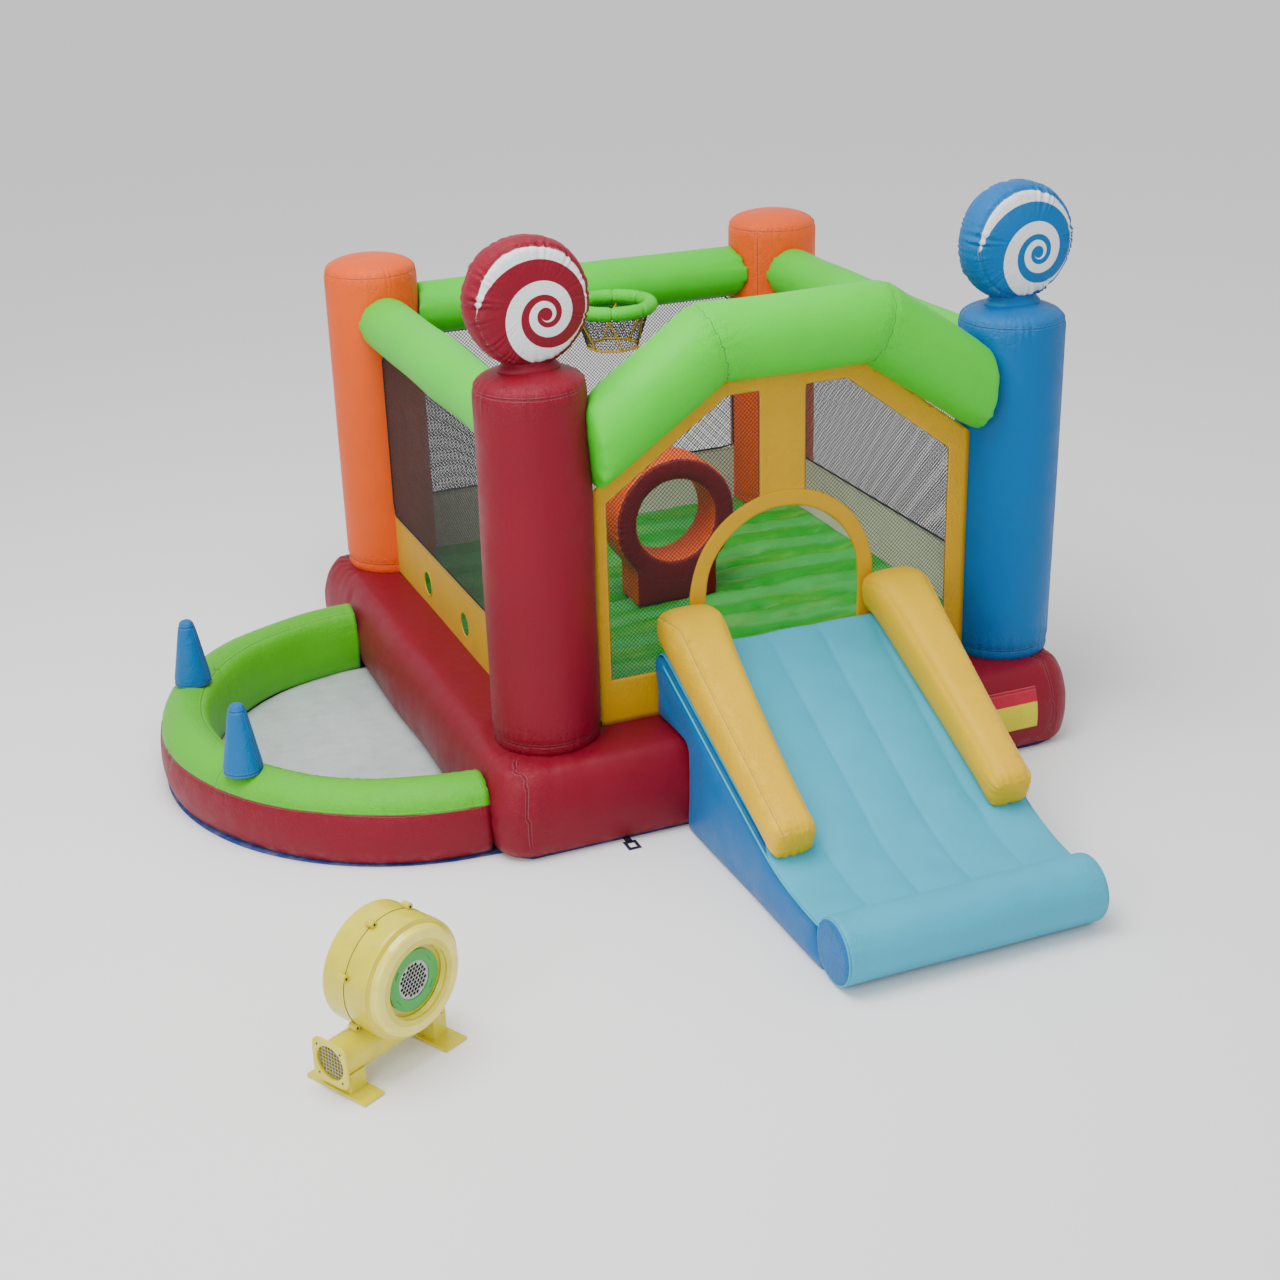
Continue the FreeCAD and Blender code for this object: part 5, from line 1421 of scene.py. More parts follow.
class BOUNCE_OT_hoop(bpy.types.Operator):
    """Fill the ball hoop and hang its net with yellow tapes"""
    bl_idname = "bounce.hoop"
    bl_label = "Ball hoop"

    def execute(self, context):
        low, high = local_box("hoop")
        centre, thick = (low + high) / 2, (high.z - low.z) / 2 - 0.001
        r = (high.x - low.x) / 2 - thick
        turn = np.linspace(0, 2 * math.pi, 144, endpoint=False)
        rings = []
        for t in turn:
            nip = 1 - 0.13 * math.exp(-((math.degrees(t) % 45 - 22.5) / 3.2) ** 2)
            section = rounded_section(thick * nip, thick * nip, 2, 28)
            rings.append([(centre.x + (r + a) * math.cos(t), centre.y + (r + a) * math.sin(t), centre.z + b)
                          for a, b in section])
        o = swept("hoop", rings, around=True)
        for k in range(8):
            t = math.radians(45 * k + 22.5)
            ring = [(centre.x + (r + thick * 0.9 * math.cos(a)) * math.cos(t),
                     centre.y + (r + thick * 0.9 * math.cos(a)) * math.sin(t), centre.z + thick * 0.9 * math.sin(a))
                    for a in np.linspace(0, 2 * math.pi, 30)]
            gather(o, np.array(ring), depth=0.0022, reach=0.02, pinch=0.002, width=0.005, pitch=0.016, seed=140 + k)
        complete(o, "ball_hoop", [plain("green_cloth", "green")], ("hoop",))
        low, high = local_box("hoop_net")
        end = 0.112

        def place(u, v):
            t = u * 2 * math.pi + v * 0.5
            radius = (r - 0.004) + (end - r + 0.004) * v**0.8 + 0.004 * np.sin(u * 16 * math.pi) * v
            z = centre.z - thick * 0.8 + (low.z + 0.004 - centre.z + thick * 0.8) * v
            return np.stack([centre.x + radius * np.cos(t), centre.y + radius * np.sin(t), z], axis=1)

        o = grid("ball_net", 84, 13, place)
        merge(o)
        apply(o, "WIREFRAME", thickness=0.0026, use_replace=True, use_even_offset=True)
        complete(o, "ball_net", [fabric("net_cord", CORD_BLACK, stitches=False)], ("hoop_net",),
                 smooth=False)
        tapes = []
        for k in range(6):
            v = np.linspace(0, 1, 9)
            u = np.full(9, k / 6)
            tapes.append(tube("tape", place(u, v), 0.0045, 6))
        u = np.linspace(0, 1, 60, endpoint=False)
        tapes.append(tube("tape", place(u, np.ones(60)), 0.006, 6, around=True))
        o = joined("ball_net_tapes", *tapes)
        complete(o, "ball_net_tapes", [plain("yellow_cloth", "yellow", dust=0)])
        return {"FINISHED"}


# Slide


def slide_profile(count):
    return smooth_line([(-0.052, 0.560), (-0.075, 0.584), (-0.13, 0.584), (-0.30, 0.514), (-0.60, 0.386),
                        (-0.90, 0.260), (-1.06, 0.199), (-1.20, 0.172), (-1.32, 0.162), (-1.392, 0.162)], count)


def slide_right(y):
    """Right edge of the slide, which narrows towards its end."""
    return 1.5 + (1.375 - 1.5) * np.clip((np.asarray(y) + 0.12) / (-1.28), 0, 1)


SLIDE_LEFT = 0.4


class BOUNCE_OT_slide(bpy.types.Operator):
    """Sew the slide: body, channelled bed, corded edges, bolsters and end roll"""
    bl_idname = "bounce.slide"
    bl_label = "Slide"

    def execute(self, context):
        line = slide_profile(150)
        ahead = np.gradient(line, axis=0)
        ahead /= np.linalg.norm(ahead, axis=1)[:, None]
        up = np.stack([-ahead[:, 1], ahead[:, 0]], axis=1)
        up *= np.sign(up[:, 1:2] + 1e-9)
        self.bed(line, up)
        self.body(line)
        self.bolsters(line, up)
        self.roll()
        return {"FINISHED"}

    def bed(self, line, up):
        along, across = len(line) - 1, 110
        seams = (0.0, 0.2, 0.4, 0.6, 0.81, 1.0)

        def place(u, v):
            i = np.rint(v * along).astype(int)
            y, z = line[i, 0], line[i, 1]
            margin = 0.004 + 0.022 * np.clip((y + 1.00) / 0.05, 0, 1)
            x = SLIDE_LEFT + margin + u * (slide_right(y) - SLIDE_LEFT - 2 * margin)
            strip = np.zeros_like(u)
            for a, b in zip(seams, seams[1:]):
                t = np.clip((u - a) / (b - a), 0, 1)
                strip = np.maximum(strip, np.where((u >= a) & (u <= b), np.sin(math.pi * t) ** 0.5, 0))
            calm = np.clip(v / 0.10, 0, 1) * np.clip((1 - v) / 0.05, 0, 1)
            puff = (0.014 * strip - 0.004) * calm + 0.004
            return np.stack([x, y + up[i, 0] * puff, z + up[i, 1] * puff], axis=1)

        o = grid("bed", across, along, place)
        slack(o, 0.0018, 0.18, 150)
        for k, u in enumerate(seams[1:-1]):
            v = np.linspace(0.03, 0.955, 80)
            gather(o, place(np.full(80, u), v), depth=0.0018, reach=0.022, pinch=0.002, width=0.006, pitch=0.03,
                   seed=151 + k)
        seam = SEWN.pop("bed")
        apply(o, "SOLIDIFY", thickness=0.003, offset=-1)
        SEWN["bed"] = np.concatenate([seam, np.tile([1.0, 1.0, 0.0], (len(o.data.vertices) - len(seam), 1))])
        complete(o, "slide_bed", [plain("light_blue_cloth", "light_blue", dust=0.1)],
                 ("slide_surface",))

    def body(self, line):
        o = outer_skin("body", "slide_body")
        remesh(o, 0.018)
        co = points_of(o)
        height = np.interp(-co[:, 1], -line[:, 0], line[:, 1])
        top = co[:, 2] > height - 0.03
        inflate(o, 0.012, top | (co[:, 2] < 0.02))
        relax(o, 3)
        slack(o, 0.003, 0.5, 160, lambda p, n: np.abs(n[:, 0]))
        co = points_of(o)
        height = np.interp(-co[:, 1], -line[:, 0], line[:, 1])
        co[:, 2] = np.minimum(co[:, 2], np.maximum(height - 0.004, 0.02))
        co[:, 2] = np.maximum(co[:, 2], 0.001)
        set_points(o, co)
        complete(o, "slide_body", [plain("blue_cloth", "blue")], ("slide_body",))
        radius = sewing().welt
        for side in ("left", "right"):
            x = np.full(len(line), SLIDE_LEFT + 0.004) if side == "left" else slide_right(line[:, 0]) - 0.004
            path = np.stack([x, line[:, 0], line[:, 1] + 0.001], axis=1)[12::2]
            o = tube("welt", path, radius, 8)
            complete(o, "slide_welt_" + side, [plain("light_blue_cloth", "light_blue", dust=0.1)])

    def bolsters(self, line, up):
        def middle_x(side, y, wide):
            """Middle of a bolster that lies along one edge of the slide."""
            return SLIDE_LEFT + 0.002 + wide if side == "left" else float(slide_right(y)) - 0.002 - wide

        for k, side in enumerate(("left", "right")):
            path, rise = line[3:112], up[3:112]
            t = np.linspace(0, 1, len(path))
            wide = 0.126 + (0.083 - 0.126) * t**0.8
            tall = 0.098 + (0.070 - 0.098) * t
            rings = []
            for i, (p, n) in enumerate(zip(path, rise)):
                from_top = t[i] * 1.03
                top_cap = math.sqrt(max(0.0, 1 - max(0.0, 1 - from_top / 0.075) ** 2.6))
                end_cap = 1 - 0.12 * max(0.0, 1 - (1 - t[i]) / 0.05) ** 2
                w, h = wide[i] * (0.55 + 0.45 * top_cap) * end_cap, tall[i] * (0.35 + 0.65 * top_cap) * end_cap
                section = rounded_section(w, h, 3.6, 56)
                x = middle_x(side, p[0], wide[i])
                lift = h + 0.004
                rings.append([(x + a, p[0] + n[0] * (b + lift), p[1] + n[1] * (b + lift)) for a, b in section])
            o = swept("bolster", rings)
            remesh(o, 0.0105)
            co = points_of(o)
            outer = -1 if side == "left" else 1
            corner = []
            for i in range(3, len(path) - 1, 2):
                p, n = path[i], rise[i]
                x = middle_x(side, p[0], wide[i])
                h = tall[i] * 2 * (0.93 if i > 10 else 0.6 + 0.033 * i)
                corner.append((x + outer * wide[i] * 0.66, p[0] + n[0] * h, p[1] + n[1] * h))
            corner = np.array(corner)
            inside_edge = corner - np.outer(wide[3:-1:2], (outer * 1.45, 0, 0))
            held = nearest_on(co, corner)[0] < 0.008
            inflate(o, 0.010, held)
            relax(o, 3)
            subdivide(o)
            corner = project_to(o, corner)
            gather(o, corner, depth=0.0026, reach=0.03, pinch=0.0045, width=0.010, pitch=0.03, seed=170 + k)
            gather(o, project_to(o, inside_edge), depth=0.002, reach=0.03, pinch=0.002, width=0.010, pitch=0.034,
                   seed=174 + k, stitched=False)
            p, n, w, h = path[-1], rise[-1], wide[-1], tall[-1]
            x = middle_x(side, p[0], w)
            rim = [(x + a, p[0] + n[0] * (b + h), p[1] + n[1] * (b + h)) for a, b in rounded_section(w, h, 3.6, 60)]
            gather(o, ring_line(np.array(rim)), depth=0.006, reach=0.05, pinch=0.004, width=0.012, pitch=0.034,
                   seed=178 + k, stitched=False)
            complete(o, "slide_bolster_" + side, [plain("rail_cloth", "rail_yellow", dust=0.05, relief=1.3)],
                     ("slide_rail_" + side,))

    def roll(self):
        low, high = local_box("slide_roll")
        r = (high.z - low.z) / 2
        y, z = (low.y + high.y) / 2, (low.z + high.z) / 2
        half = (high.x - low.x) / 2
        profile = smooth_line([(0, half + 0.004), (0.05, half + 0.003), (0.09, half), (r - 0.01, half - 0.006),
                               (r - 0.002, half - 0.013), (r, half - 0.03), (r + 0.0005, half - 0.12), (r, 0)], 60)
        both = np.concatenate([profile * (1, -1), profile[::-1][1:]])
        o = turned("roll", both, axis="X", segments=112)
        paint_faces(o, 1, lambda c, n: abs(c.x) > half - 0.0095)
        for k, x in enumerate((-half + 0.011, half - 0.011)):
            gather(o, loop((x, 0, 0), r - 0.004, "X"), depth=0.003, reach=0.05, pinch=0.0015, width=0.006,
                   pitch=0.03, seed=180 + k)
        slack(o, 0.0022, 0.5, 182)
        co = points_of(o)
        co[:, 2] = np.maximum(co[:, 2], -r + 0.004)
        set_points(o, co)
        o.data.transform(Matrix.Translation(((low.x + high.x) / 2, y, z)))
        complete(o, "slide_roll", [plain("light_blue_cloth", "light_blue", dust=0.1), plain("blue_cloth", "blue")],
                 ("slide_roll",))
        for k, x in enumerate((low.x + 0.010, high.x - 0.010)):
            welt = tube("welt", circle((x, y, z), r - 0.006, "X", 72), sewing().welt * 0.8, 8, around=True)
            complete(welt, "roll_welt_" + ("left", "right")[k],
                     [plain("light_blue_cloth", "light_blue", dust=0.1)])


# Pool

POOL_INNER = 0.8
SEAM_HEIGHT = 0.204
CONES = (("pool_cone_back", -1.085, 1.16), ("pool_cone_front", -1.07, 0.29))


class BOUNCE_OT_pool(bpy.types.Operator):
    """Sew the half-round pool wall, its floor, its cones and the ground sheet"""
    bl_idname = "bounce.pool"
    bl_label = "Pool"

    def execute(self, context):
        low, high = local_box("pool_ring")
        centre = Vector((-0.28, (low.y + high.y) / 2, 0))
        outer, inner, top = (high.y - low.y) / 2, POOL_INNER, high.z
        limit = high.x - 0.002 - centre.x
        stop = math.acos(limit / outer)
        turn = np.linspace(stop, 2 * math.pi - stop, 150)
        wide = outer - inner
        arc = [(0.03, 0.002), (wide - 0.04, 0.002), (wide - 0.010, 0.022), (wide + 0.004, 0.07),
               (wide + 0.007, 0.12), (wide + 0.001, 0.175), (wide - 0.006, SEAM_HEIGHT), (wide - 0.018, 0.238),
               (wide - 0.050, 0.266), (wide * 0.5, top + 0.003), (0.055, top - 0.003), (0.02, top - 0.02),
               (0.002, top - 0.06), (-0.006, 0.15), (-0.002, 0.07)]
        section = smooth_line(arc, 61, closed=True)[:-1]
        rings = []
        for t in turn:
            ring = []
            for a, z in section:
                x, y = (inner + a) * math.cos(t), (inner + a) * math.sin(t)
                ring.append((centre.x + min(x, limit), centre.y + y, z))
            rings.append(ring)
        o = swept("pool", rings)
        slack(o, 0.0035, 0.4, 190)
        seam_r, seam_z = outer - 0.006, SEAM_HEIGHT
        t = np.linspace(stop + 0.03, 2 * math.pi - stop - 0.03, 200)
        edge = np.stack([centre.x + seam_r * np.cos(t), centre.y + seam_r * np.sin(t), np.full(200, seam_z)], axis=1)
        gather(o, edge, depth=0.006, reach=0.045, pinch=0.004, width=0.010, pitch=0.034, seed=191)
        ridge = np.stack([centre.x + (inner + 0.036) * np.cos(t), centre.y + (inner + 0.036) * np.sin(t),
                          np.full(200, top - 0.01)], axis=1)
        gather(o, ridge, depth=0.0035, reach=0.045, pinch=0.004, width=0.011, pitch=0.036, seed=192)
        for k, y in enumerate((centre.y - inner - wide / 2, centre.y + inner + wide / 2)):
            corners = [(-wide / 2, 0.02), (wide / 2, 0.02), (wide / 2, top - 0.02), (-wide / 2, top - 0.02)]
            end = [(high.x - 0.01, y + a * (1 if k else -1), z) for a, z in (*corners, corners[0])]
            gather(o, np.array(end), depth=0.005, reach=0.06, pinch=0.002, width=0.014, pitch=0.036, seed=193 + k,
                   stitched=False)
        for k, t in enumerate((2.55, 3.6)):
            cross = [(centre.x + (inner + a) * math.cos(t), centre.y + (inner + a) * math.sin(t), z)
                     for a, z in smooth_line(arc[6:14], 30)]
            sew(o, np.array(cross))

        def print_on(b, where, base):
            x, y, z = b.split(local(b, where))
            away = b.math("SQRT", b.math("ADD", b.math("POWER", b.math("SUBTRACT", x, centre.x), 2.0),
                                         b.math("POWER", b.math("SUBTRACT", y, centre.y), 2.0)))
            low_part = b.between(z, seam_z - 0.0004, seam_z + 0.0004, 1.0, 0.0)
            outside = b.between(away, inner + 0.1, inner + 0.101)
            return b.mix(b.math("MULTIPLY", low_part, outside), base, rgba(cloths().red))

        complete(o, "pool_wall", [plain("pool_cloth", "pool_green", print_on=print_on, dust=0.3)],
                 ("pool_ring",))
        self.floor(centre, inner, high.x)
        self.cones()
        return {"FINISHED"}

    def floor(self, centre, inner, stop_x):
        low, high = local_box("pool_floor")
        reach = inner + 0.02

        def place(u, v):
            y = centre.y + (v * 2 - 1) * reach * 0.999
            stop = stop_x + 0.045
            far = centre.x - np.sqrt(np.maximum(reach**2 - (y - centre.y) ** 2, 0.0001))
            x = far + u * (stop - far)
            return np.stack([x, y, np.full_like(x, 0.006)], axis=1)

        o = grid("pool_floor", 70, 130, place)
        slack(o, 0.0016, 0.3, 200)
        slack(o, 0.0009, 0.09, 201)
        co = points_of(o)
        co[:, 2] = np.clip(co[:, 2], 0.0035, 0.012)
        set_points(o, co)
        apply(o, "SOLIDIFY", thickness=0.0012, offset=0)
        complete(o, "pool_floor", [plain("pool_floor_cloth", "pale_grey", dust=0.25, unevenness=0.08)],
                 ("pool_floor",))
        low, high = local_box("ground_sheet")

        def lay(u, v):
            y = low.y + v * (high.y - low.y)
            bulge = np.sqrt(np.maximum(1.0 - np.clip((y - centre.y) / (inner + 0.196), -1, 1) ** 2, 0))
            left = np.where(bulge > 0, np.minimum(-0.26, centre.x - bulge * (inner + 0.196)), -0.26)
            near_end = np.maximum(0.13 - np.minimum(y - low.y, high.y - y), 0)
            far = high.x - (0.13 - np.sqrt(np.maximum(0.13**2 - near_end**2, 0)))
            left = left + np.where(left > -0.27, 0.15 - np.sqrt(np.maximum(0.15**2 - near_end**2, 0)), 0)
            return np.stack([left + u * (far - left), y, np.full_like(y, 0.0005)], axis=1)

        o = grid("ground", 60, 140, lay)
        co = points_of(o)
        co[:, 2] = 0.0008 + 0.0006 * np.sin(co[:, 0] * 21 + co[:, 1] * 17)
        set_points(o, co)
        apply(o, "SOLIDIFY", thickness=0.0008, offset=0)
        complete(o, "ground_sheet", [plain("ground_cloth", "navy", dust=0.4)], ("ground_sheet",))

    def cones(self):
        foot = local_box("pool_cones")[0].z - 0.004
        profile = smooth_line([(0, 0), (0.066, 0), (0.0735, 0.008), (0.072, 0.022), (0.06, 0.09), (0.047, 0.165),
                               (0.036, 0.225), (0.03, 0.25), (0.02, 0.264), (0, 0.27)], 64)
        for k, (name, x, y) in enumerate(CONES):
            o = turned("cone", profile, segments=72)
            gather(o, loop((0, 0, 0.012), 0.073), depth=0.003, reach=0.03, pinch=0.003, width=0.008,
                   pitch=0.022, seed=210 + k)
            gather(o, loop((0, 0, 0.245), 0.032), depth=0.0016, reach=0.02, pinch=0.002, width=0.006,
                   pitch=0.016, seed=214 + k)
            sew(o, np.array([(0.05, -0.05, 0.01), (0.02, -0.022, 0.24)]))
            o.data.transform(Matrix.Translation((x, y, foot)))
            complete(o, name, [plain("blue_cloth", "blue")], ("pool_cones",))


# Fittings


class BOUNCE_OT_fittings(bpy.types.Operator):
    """Sew the ground loops, the blank patch, the air sleeve and the air-release zip"""
    bl_idname = "bounce.fittings"
    bl_label = "Loops, sleeve and zip"

    def execute(self, context):
        strap = fabric("black_strap", STRAP_BLACK, rough=0.65, dust=0.2, stitches=False)
        low, high = local_box("anchor_loops")
        tabs = [outer_skin("loops", "anchor_loops")]
        for x in (low.x + 0.025, high.x - 0.025):
            for y in (low.y + 0.08, high.y - 0.08):
                nothing_selected()
                bpy.ops.mesh.primitive_cube_add(size=1, location=(x, y, low.z + 0.0006))
                tab = context.object
                tab.scale = (0.026, 0.045, 0.0012)
                bpy.ops.object.transform_apply(location=True, rotation=False, scale=True)
                tabs.append(tab)
        o = joined("loops", *tabs)
        complete(o, "anchor_loops", [strap], ("anchor_loops",), angle=35)
        low, high = local_box("label_patch")
        base = bpy.data.objects["base_walls"]

        def place(u, v):
            x, z = low.x + u * (high.x - low.x), low.z + v * (high.z - low.z) * 1.25
            y = []
            for a, c in zip(x, z):
                hit, spot, normal, _ = base.ray_cast(Vector((a, -2.0, c)) + ORIGIN, Vector((0, 1, 0)))
                y.append(spot.y - ORIGIN.y - 0.002 if hit else low.y)
            return np.stack([x, np.array(y), z], axis=1)

        o = grid("patch", 40, 26, place)
        apply(o, "SOLIDIFY", thickness=0.0008, offset=0)
        split_z = low.z + (high.z - low.z) * 0.80

        def print_on(b, where, base_colour):
            z = b.split(where)[2]
            edge = b.math("ADD", z, b.math("MULTIPLY", b.noise(where, 30.0), 0.002))
            return b.mix(b.between(edge, split_z, split_z + 0.0012), base_colour, (0.40, 0.008, 0.03, 1))

        line = place(np.linspace(0.02, 0.98, 40), np.full(40, 0.95))
        sew(o, line)
        complete(o, "blank_patch", [fabric("patch_cloth", (0.60, 0.52, 0.01), print_on=print_on, rough=0.42,
                                           unevenness=0.1)], ("label_patch",))
        self.sleeve()
        self.zip()
        return {"FINISHED"}

    def sleeve(self):
        low, high = local_box("air_sleeve")
        x, z, r = (low.x + high.x) / 2, (low.z + high.z) / 2, (high.x - low.x) / 2
        rings = []
        for t in np.linspace(0, 1, 60):
            y = low.y + 0.002 + t * (high.y - low.y - 0.004)
            tied = math.exp(-((y - low.y - 0.19) / 0.014) ** 2)
            flare = 1 - 0.13 * tied
            a = np.linspace(0, 2 * math.pi, 60, endpoint=False)
            fold = 1 - 0.05 * (0.25 + tied) * np.abs(np.sin(a * 7 + 1.5 * math.sin(t * 4)))
            rad = (r - 0.0005) * flare * fold
            rings.append(np.stack([x + rad * np.cos(a), np.full(60, y), z + rad * np.sin(a)], axis=1))
        rings = np.array(rings)
        rings = np.concatenate([rings, [(rings[-1] - (x, 0, z)) * (0.97, 1, 0.97) + (x, 0, z)],
                                [(rings[0] - (x, 0, z)) * (0.97, 1, 0.97) + (x, 0, z)]])
        o = swept("sleeve", rings, around=True)
        complete(o, "air_sleeve", [plain("red_cloth", "red", dust=0.25)], ("air_sleeve",))
        band = tube("tie", circle((x, low.y + 0.19, z), r * 0.87 + 0.003, "Y", 60), 0.005, 8, around=True)
        tails = []
        for lean in (-0.5, 0.45):
            start = np.array([x + 0.01 * lean, low.y + 0.19, z + r * 0.9])
            path = smooth_line([start, start + (lean * 0.03, 0.012, 0.012), start + (lean * 0.07, 0.02, -0.006),
                                start + (lean * 0.10, 0.03, -0.03)], 16)
            tails.append(tube("tail", path, 0.003, 6))
        knot = tube("knot", circle((x, low.y + 0.19, z + r * 0.9), 0.006, "Y", 16), 0.004, 6, around=True)
        o = joined("tie", band, *tails, knot)
        complete(o, "sleeve_tie", [fabric("black_strap", STRAP_BLACK)], ("sleeve_tie",))

    def zip(self):
        o = outer_skin("zip", "zip")
        complete(o, "air_zip", [fabric("zip_tape", (0.02, 0.02, 0.022), rough=0.7, stitches=False, dust=0)],
                 ("zip",), angle=30)


# Blower


BLOWER_TURN = math.radians(28)
BLOWER_PLACE = Vector((-1.3835, -1.7075, 0.0))
FAN_HEIGHT, NOZZLE_HEIGHT = 0.29, 0.105
BLOWER_NODES = {
    "housing_front": "shell", "housing_back": "shell", "blower_feet": "shell", "intake_ring": "ring",
    "intake_guard": "guard", "outlet_guard": "wire", "housing_screws": "screw", "motor": "motor",
    "cord_gland": "black", "switch_frame": "black", "switch_rocker": "rocker", "fan": "fan", "fan_shaft": "steel",
    "zip_slider": "brass",
}


class BOUNCE_OT_blower(bpy.types.Operator):
    """Mould the blower's shells, grilles and switch"""
    bl_idname = "bounce.blower"
    bl_label = "Blower"

    def execute(self, context):
        look = context.scene.bounce_blower
        finish = {
            "shell": lambda: plastic("blower_shell", look.shell),
            "ring": lambda: plastic("blower_ring", look.ring, 0.3),
            "guard": lambda: plastic("grille_grey", (0.36, 0.38, 0.36), 0.4, 0.1),
            "wire": lambda: metal("outlet_wire", (0.55, 0.53, 0.45), 0.4),
            "screw": lambda: metal("dark_screw", (0.05, 0.045, 0.04), 0.45, False),
            "motor": lambda: metal("motor_case", (0.5, 0.5, 0.5), 0.4),
            "black": lambda: plastic("black_plastic", (0.012, 0.012, 0.013), 0.45, 0.0),
            "rocker": lambda: plastic("rocker_red", (0.35, 0.01, 0.01), 0.35, 0.1),
            "fan": lambda: plastic("fan_black", (0.02, 0.02, 0.02), 0.5, 0.0),
            "steel": lambda: metal("shaft_steel", (0.55, 0.55, 0.56), 0.3),
            "brass": lambda: metal("slider_brass", (0.7, 0.5, 0.2), 0.35),
        }
        for node, key in BLOWER_NODES.items():
            o = NODES[node]
            mat = finish[key]()
            for s in o.material_slots:
                s.material = mat
            if not o.material_slots:
                o.data.materials.append(mat)
        self.face(finish)
        self.flange(finish)
        return {"FINISHED"}

    def finish_part(self, o, name, materials, slot):
        """Turn a part from the blower's own axes to its place."""
        o.data.transform(Matrix.Translation(BLOWER_PLACE) @ Matrix.Rotation(BLOWER_TURN, 4, "Z"))
        complete(o, name, materials, body="blower", local=False, angle=35)

    def face(self, finish):
        """Rounded shoulder and wide raised ring round the intake."""
        section = smooth_line([(0.1912, -0.020), (0.1912, -0.076), (0.1870, -0.0890), (0.1780, -0.0930),
                               (0.1745, -0.0945), (0.1735, -0.1010), (0.1700, -0.1130), (0.1620, -0.1190),
                               (0.1480, -0.1200), (0.1270, -0.1150), (0.1185, -0.1090), (0.1165, -0.1000),
                               (0.1175, -0.0910), (0.1600, -0.0896), (0.1860, -0.0800), (0.1892, -0.0500)], 73,
                              closed=True)[:-1]
        turn = np.linspace(0, 2 * math.pi, 144, endpoint=False)
        o = swept("face", [[(r * math.cos(t), y, FAN_HEIGHT + r * math.sin(t)) for r, y in section] for t in turn],
                  around=True)
        paint_faces(o, 1, lambda c, n: c.y < -0.0945 or math.hypot(c.x, c.z - FAN_HEIGHT) < 0.168)
        paler = tuple(min(1.0, v * 1.12 + 0.07) for v in bpy.context.scene.bounce_blower.shell)
        ring = plastic("blower_collar", paler, 0.2, 0.4)
        self.finish_part(o, "blower_face", [finish["shell"](), ring], "blower_yellow")
        groove = tube("groove", circle((0, 0.0, FAN_HEIGHT), 0.1905, "Y", 128), 0.0011, 6, around=True)
        self.finish_part(groove, "blower_split_line", [finish["black"]()], "black_plastic")
        marks = []
        for a in (35, 145, 215, 325):
            t = np.radians(np.linspace(a - 9, a + 9, 9))
            arc = np.stack([0.0805 * np.cos(t), np.full(9, -0.0984), FAN_HEIGHT + 0.0805 * np.sin(t)], axis=1)
            marks.append(tube("mark", arc, 0.0016, 6))
        self.finish_part(joined("marks", *marks), "intake_ring_marks", [finish["ring"]()], "blower_green")

    def flange(self, finish):
        """Rounded square plate at the end of the nozzle, with its four screws."""
        outer = rounded_section(0.074, 0.074, 5, 72)
        t = np.arctan2(outer[:, 1], outer[:, 0])
        hole = 0.0565 * np.stack([np.cos(t), np.sin(t)], axis=1)
        rings = [[(x, a, NOZZLE_HEIGHT + b) for a, b in line] for x, line in
                 ((-0.2595, hole), (-0.2595, outer * 0.985), (-0.261, outer), (-0.2665, outer),
                  (-0.2685, outer * 0.975), (-0.2685, hole * 1.04), (-0.2675, hole))]
        o = swept("flange", rings, around=True)
        self.finish_part(o, "nozzle_flange", [finish["shell"]()], "blower_yellow")
        screws = []
        for a in (45, 135, 225, 315):
            profile = [(0, -0.003), (0.0038, -0.003), (0.0038, 0.0), (0.003, 0.0012), (0, 0.0016)]
            head = turned("screw", profile, "X", 20)
            c, r = math.radians(a), 0.0655 * 1.07
            head.data.transform(Matrix.Translation((-0.2685, r * math.cos(c), NOZZLE_HEIGHT + r * math.sin(c)))
                                @ Matrix.Rotation(math.pi, 4, "Z"))
            screws.append(head)
        self.finish_part(joined("screws", *screws), "flange_screws", [finish["screw"]()], "steel")


# Panel and start

STEPS = (BOUNCE_OT_stage, BOUNCE_OT_base, BOUNCE_OT_floor, BOUNCE_OT_posts, BOUNCE_OT_lollipops, BOUNCE_OT_rails,
         BOUNCE_OT_arch, BOUNCE_OT_front, BOUNCE_OT_nets, BOUNCE_OT_bands, BOUNCE_OT_crawl_ring, BOUNCE_OT_hoop,
         BOUNCE_OT_slide, BOUNCE_OT_pool, BOUNCE_OT_fittings, BOUNCE_OT_blower)


class BOUNCE_PT_panel(bpy.types.Panel):
    """Lists the pieces of the bounce house"""
    bl_idname = "BOUNCE_PT_panel"
    bl_label = "Bounce House"
    bl_space_type = "VIEW_3D"
    bl_region_type = "UI"
    bl_category = "Bounce House"

    def draw(self, context):
        for title, group in (("Cloth colours", context.scene.bounce_cloths), ("Sewing", context.scene.bounce_sewing),
                             ("Blower", context.scene.bounce_blower), ("Studio", context.scene.bounce_studio)):
            box = self.layout.box()
            box.label(text=title)
            for key in group.__annotations__:
                box.prop(group, key)
        for step in STEPS:
            self.layout.operator(step.bl_idname)


GROUPS = (("bounce_cloths", ClothColours), ("bounce_sewing", SewingSizes), ("bounce_blower", BlowerFinish),
          ("bounce_studio", StudioSettings))


def register():
    for name, kind in GROUPS:
        bpy.utils.register_class(kind)
        setattr(bpy.types.Scene, name, bpy.props.PointerProperty(type=kind))
    for kind in (*STEPS, BOUNCE_PT_panel):
        bpy.utils.register_class(kind)


def unregister():
    for kind in (BOUNCE_PT_panel, *STEPS[::-1]):
        bpy.utils.unregister_class(kind)
    for name, kind in GROUPS:
        delattr(bpy.types.Scene, name)
        bpy.utils.unregister_class(kind)


def main():
    register()
    for step in STEPS:
        getattr(bpy.ops.bounce, step.bl_idname.removeprefix("bounce."))()


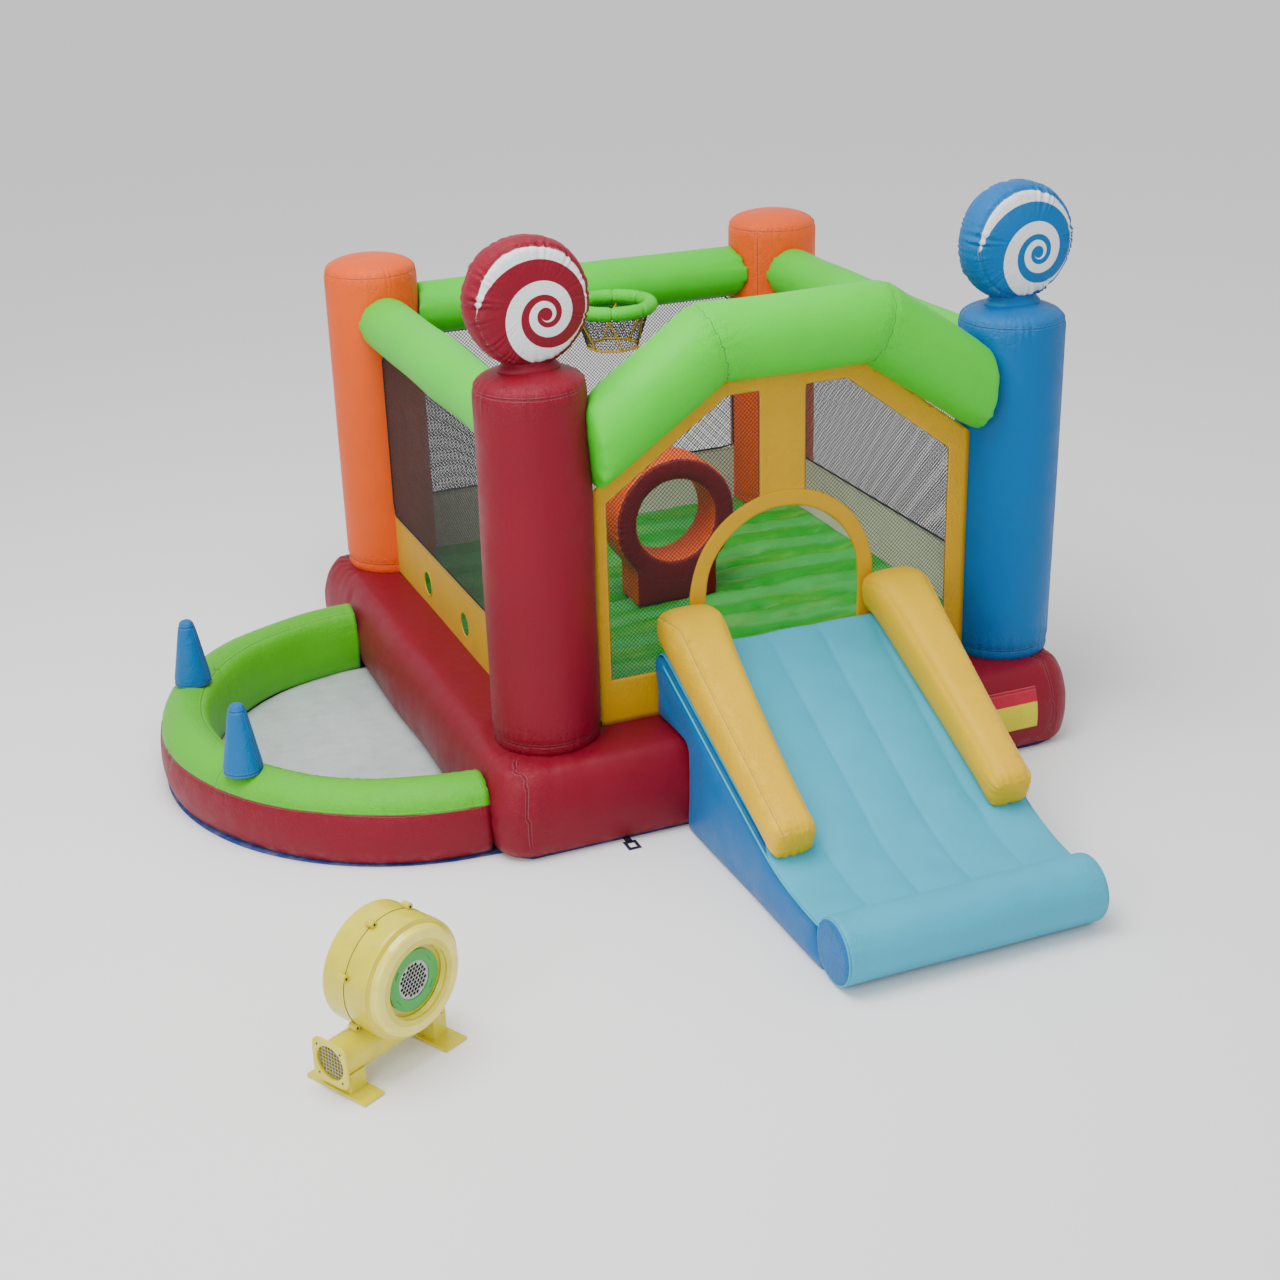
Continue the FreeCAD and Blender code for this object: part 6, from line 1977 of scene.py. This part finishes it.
if __name__ == "__main__":
    main()
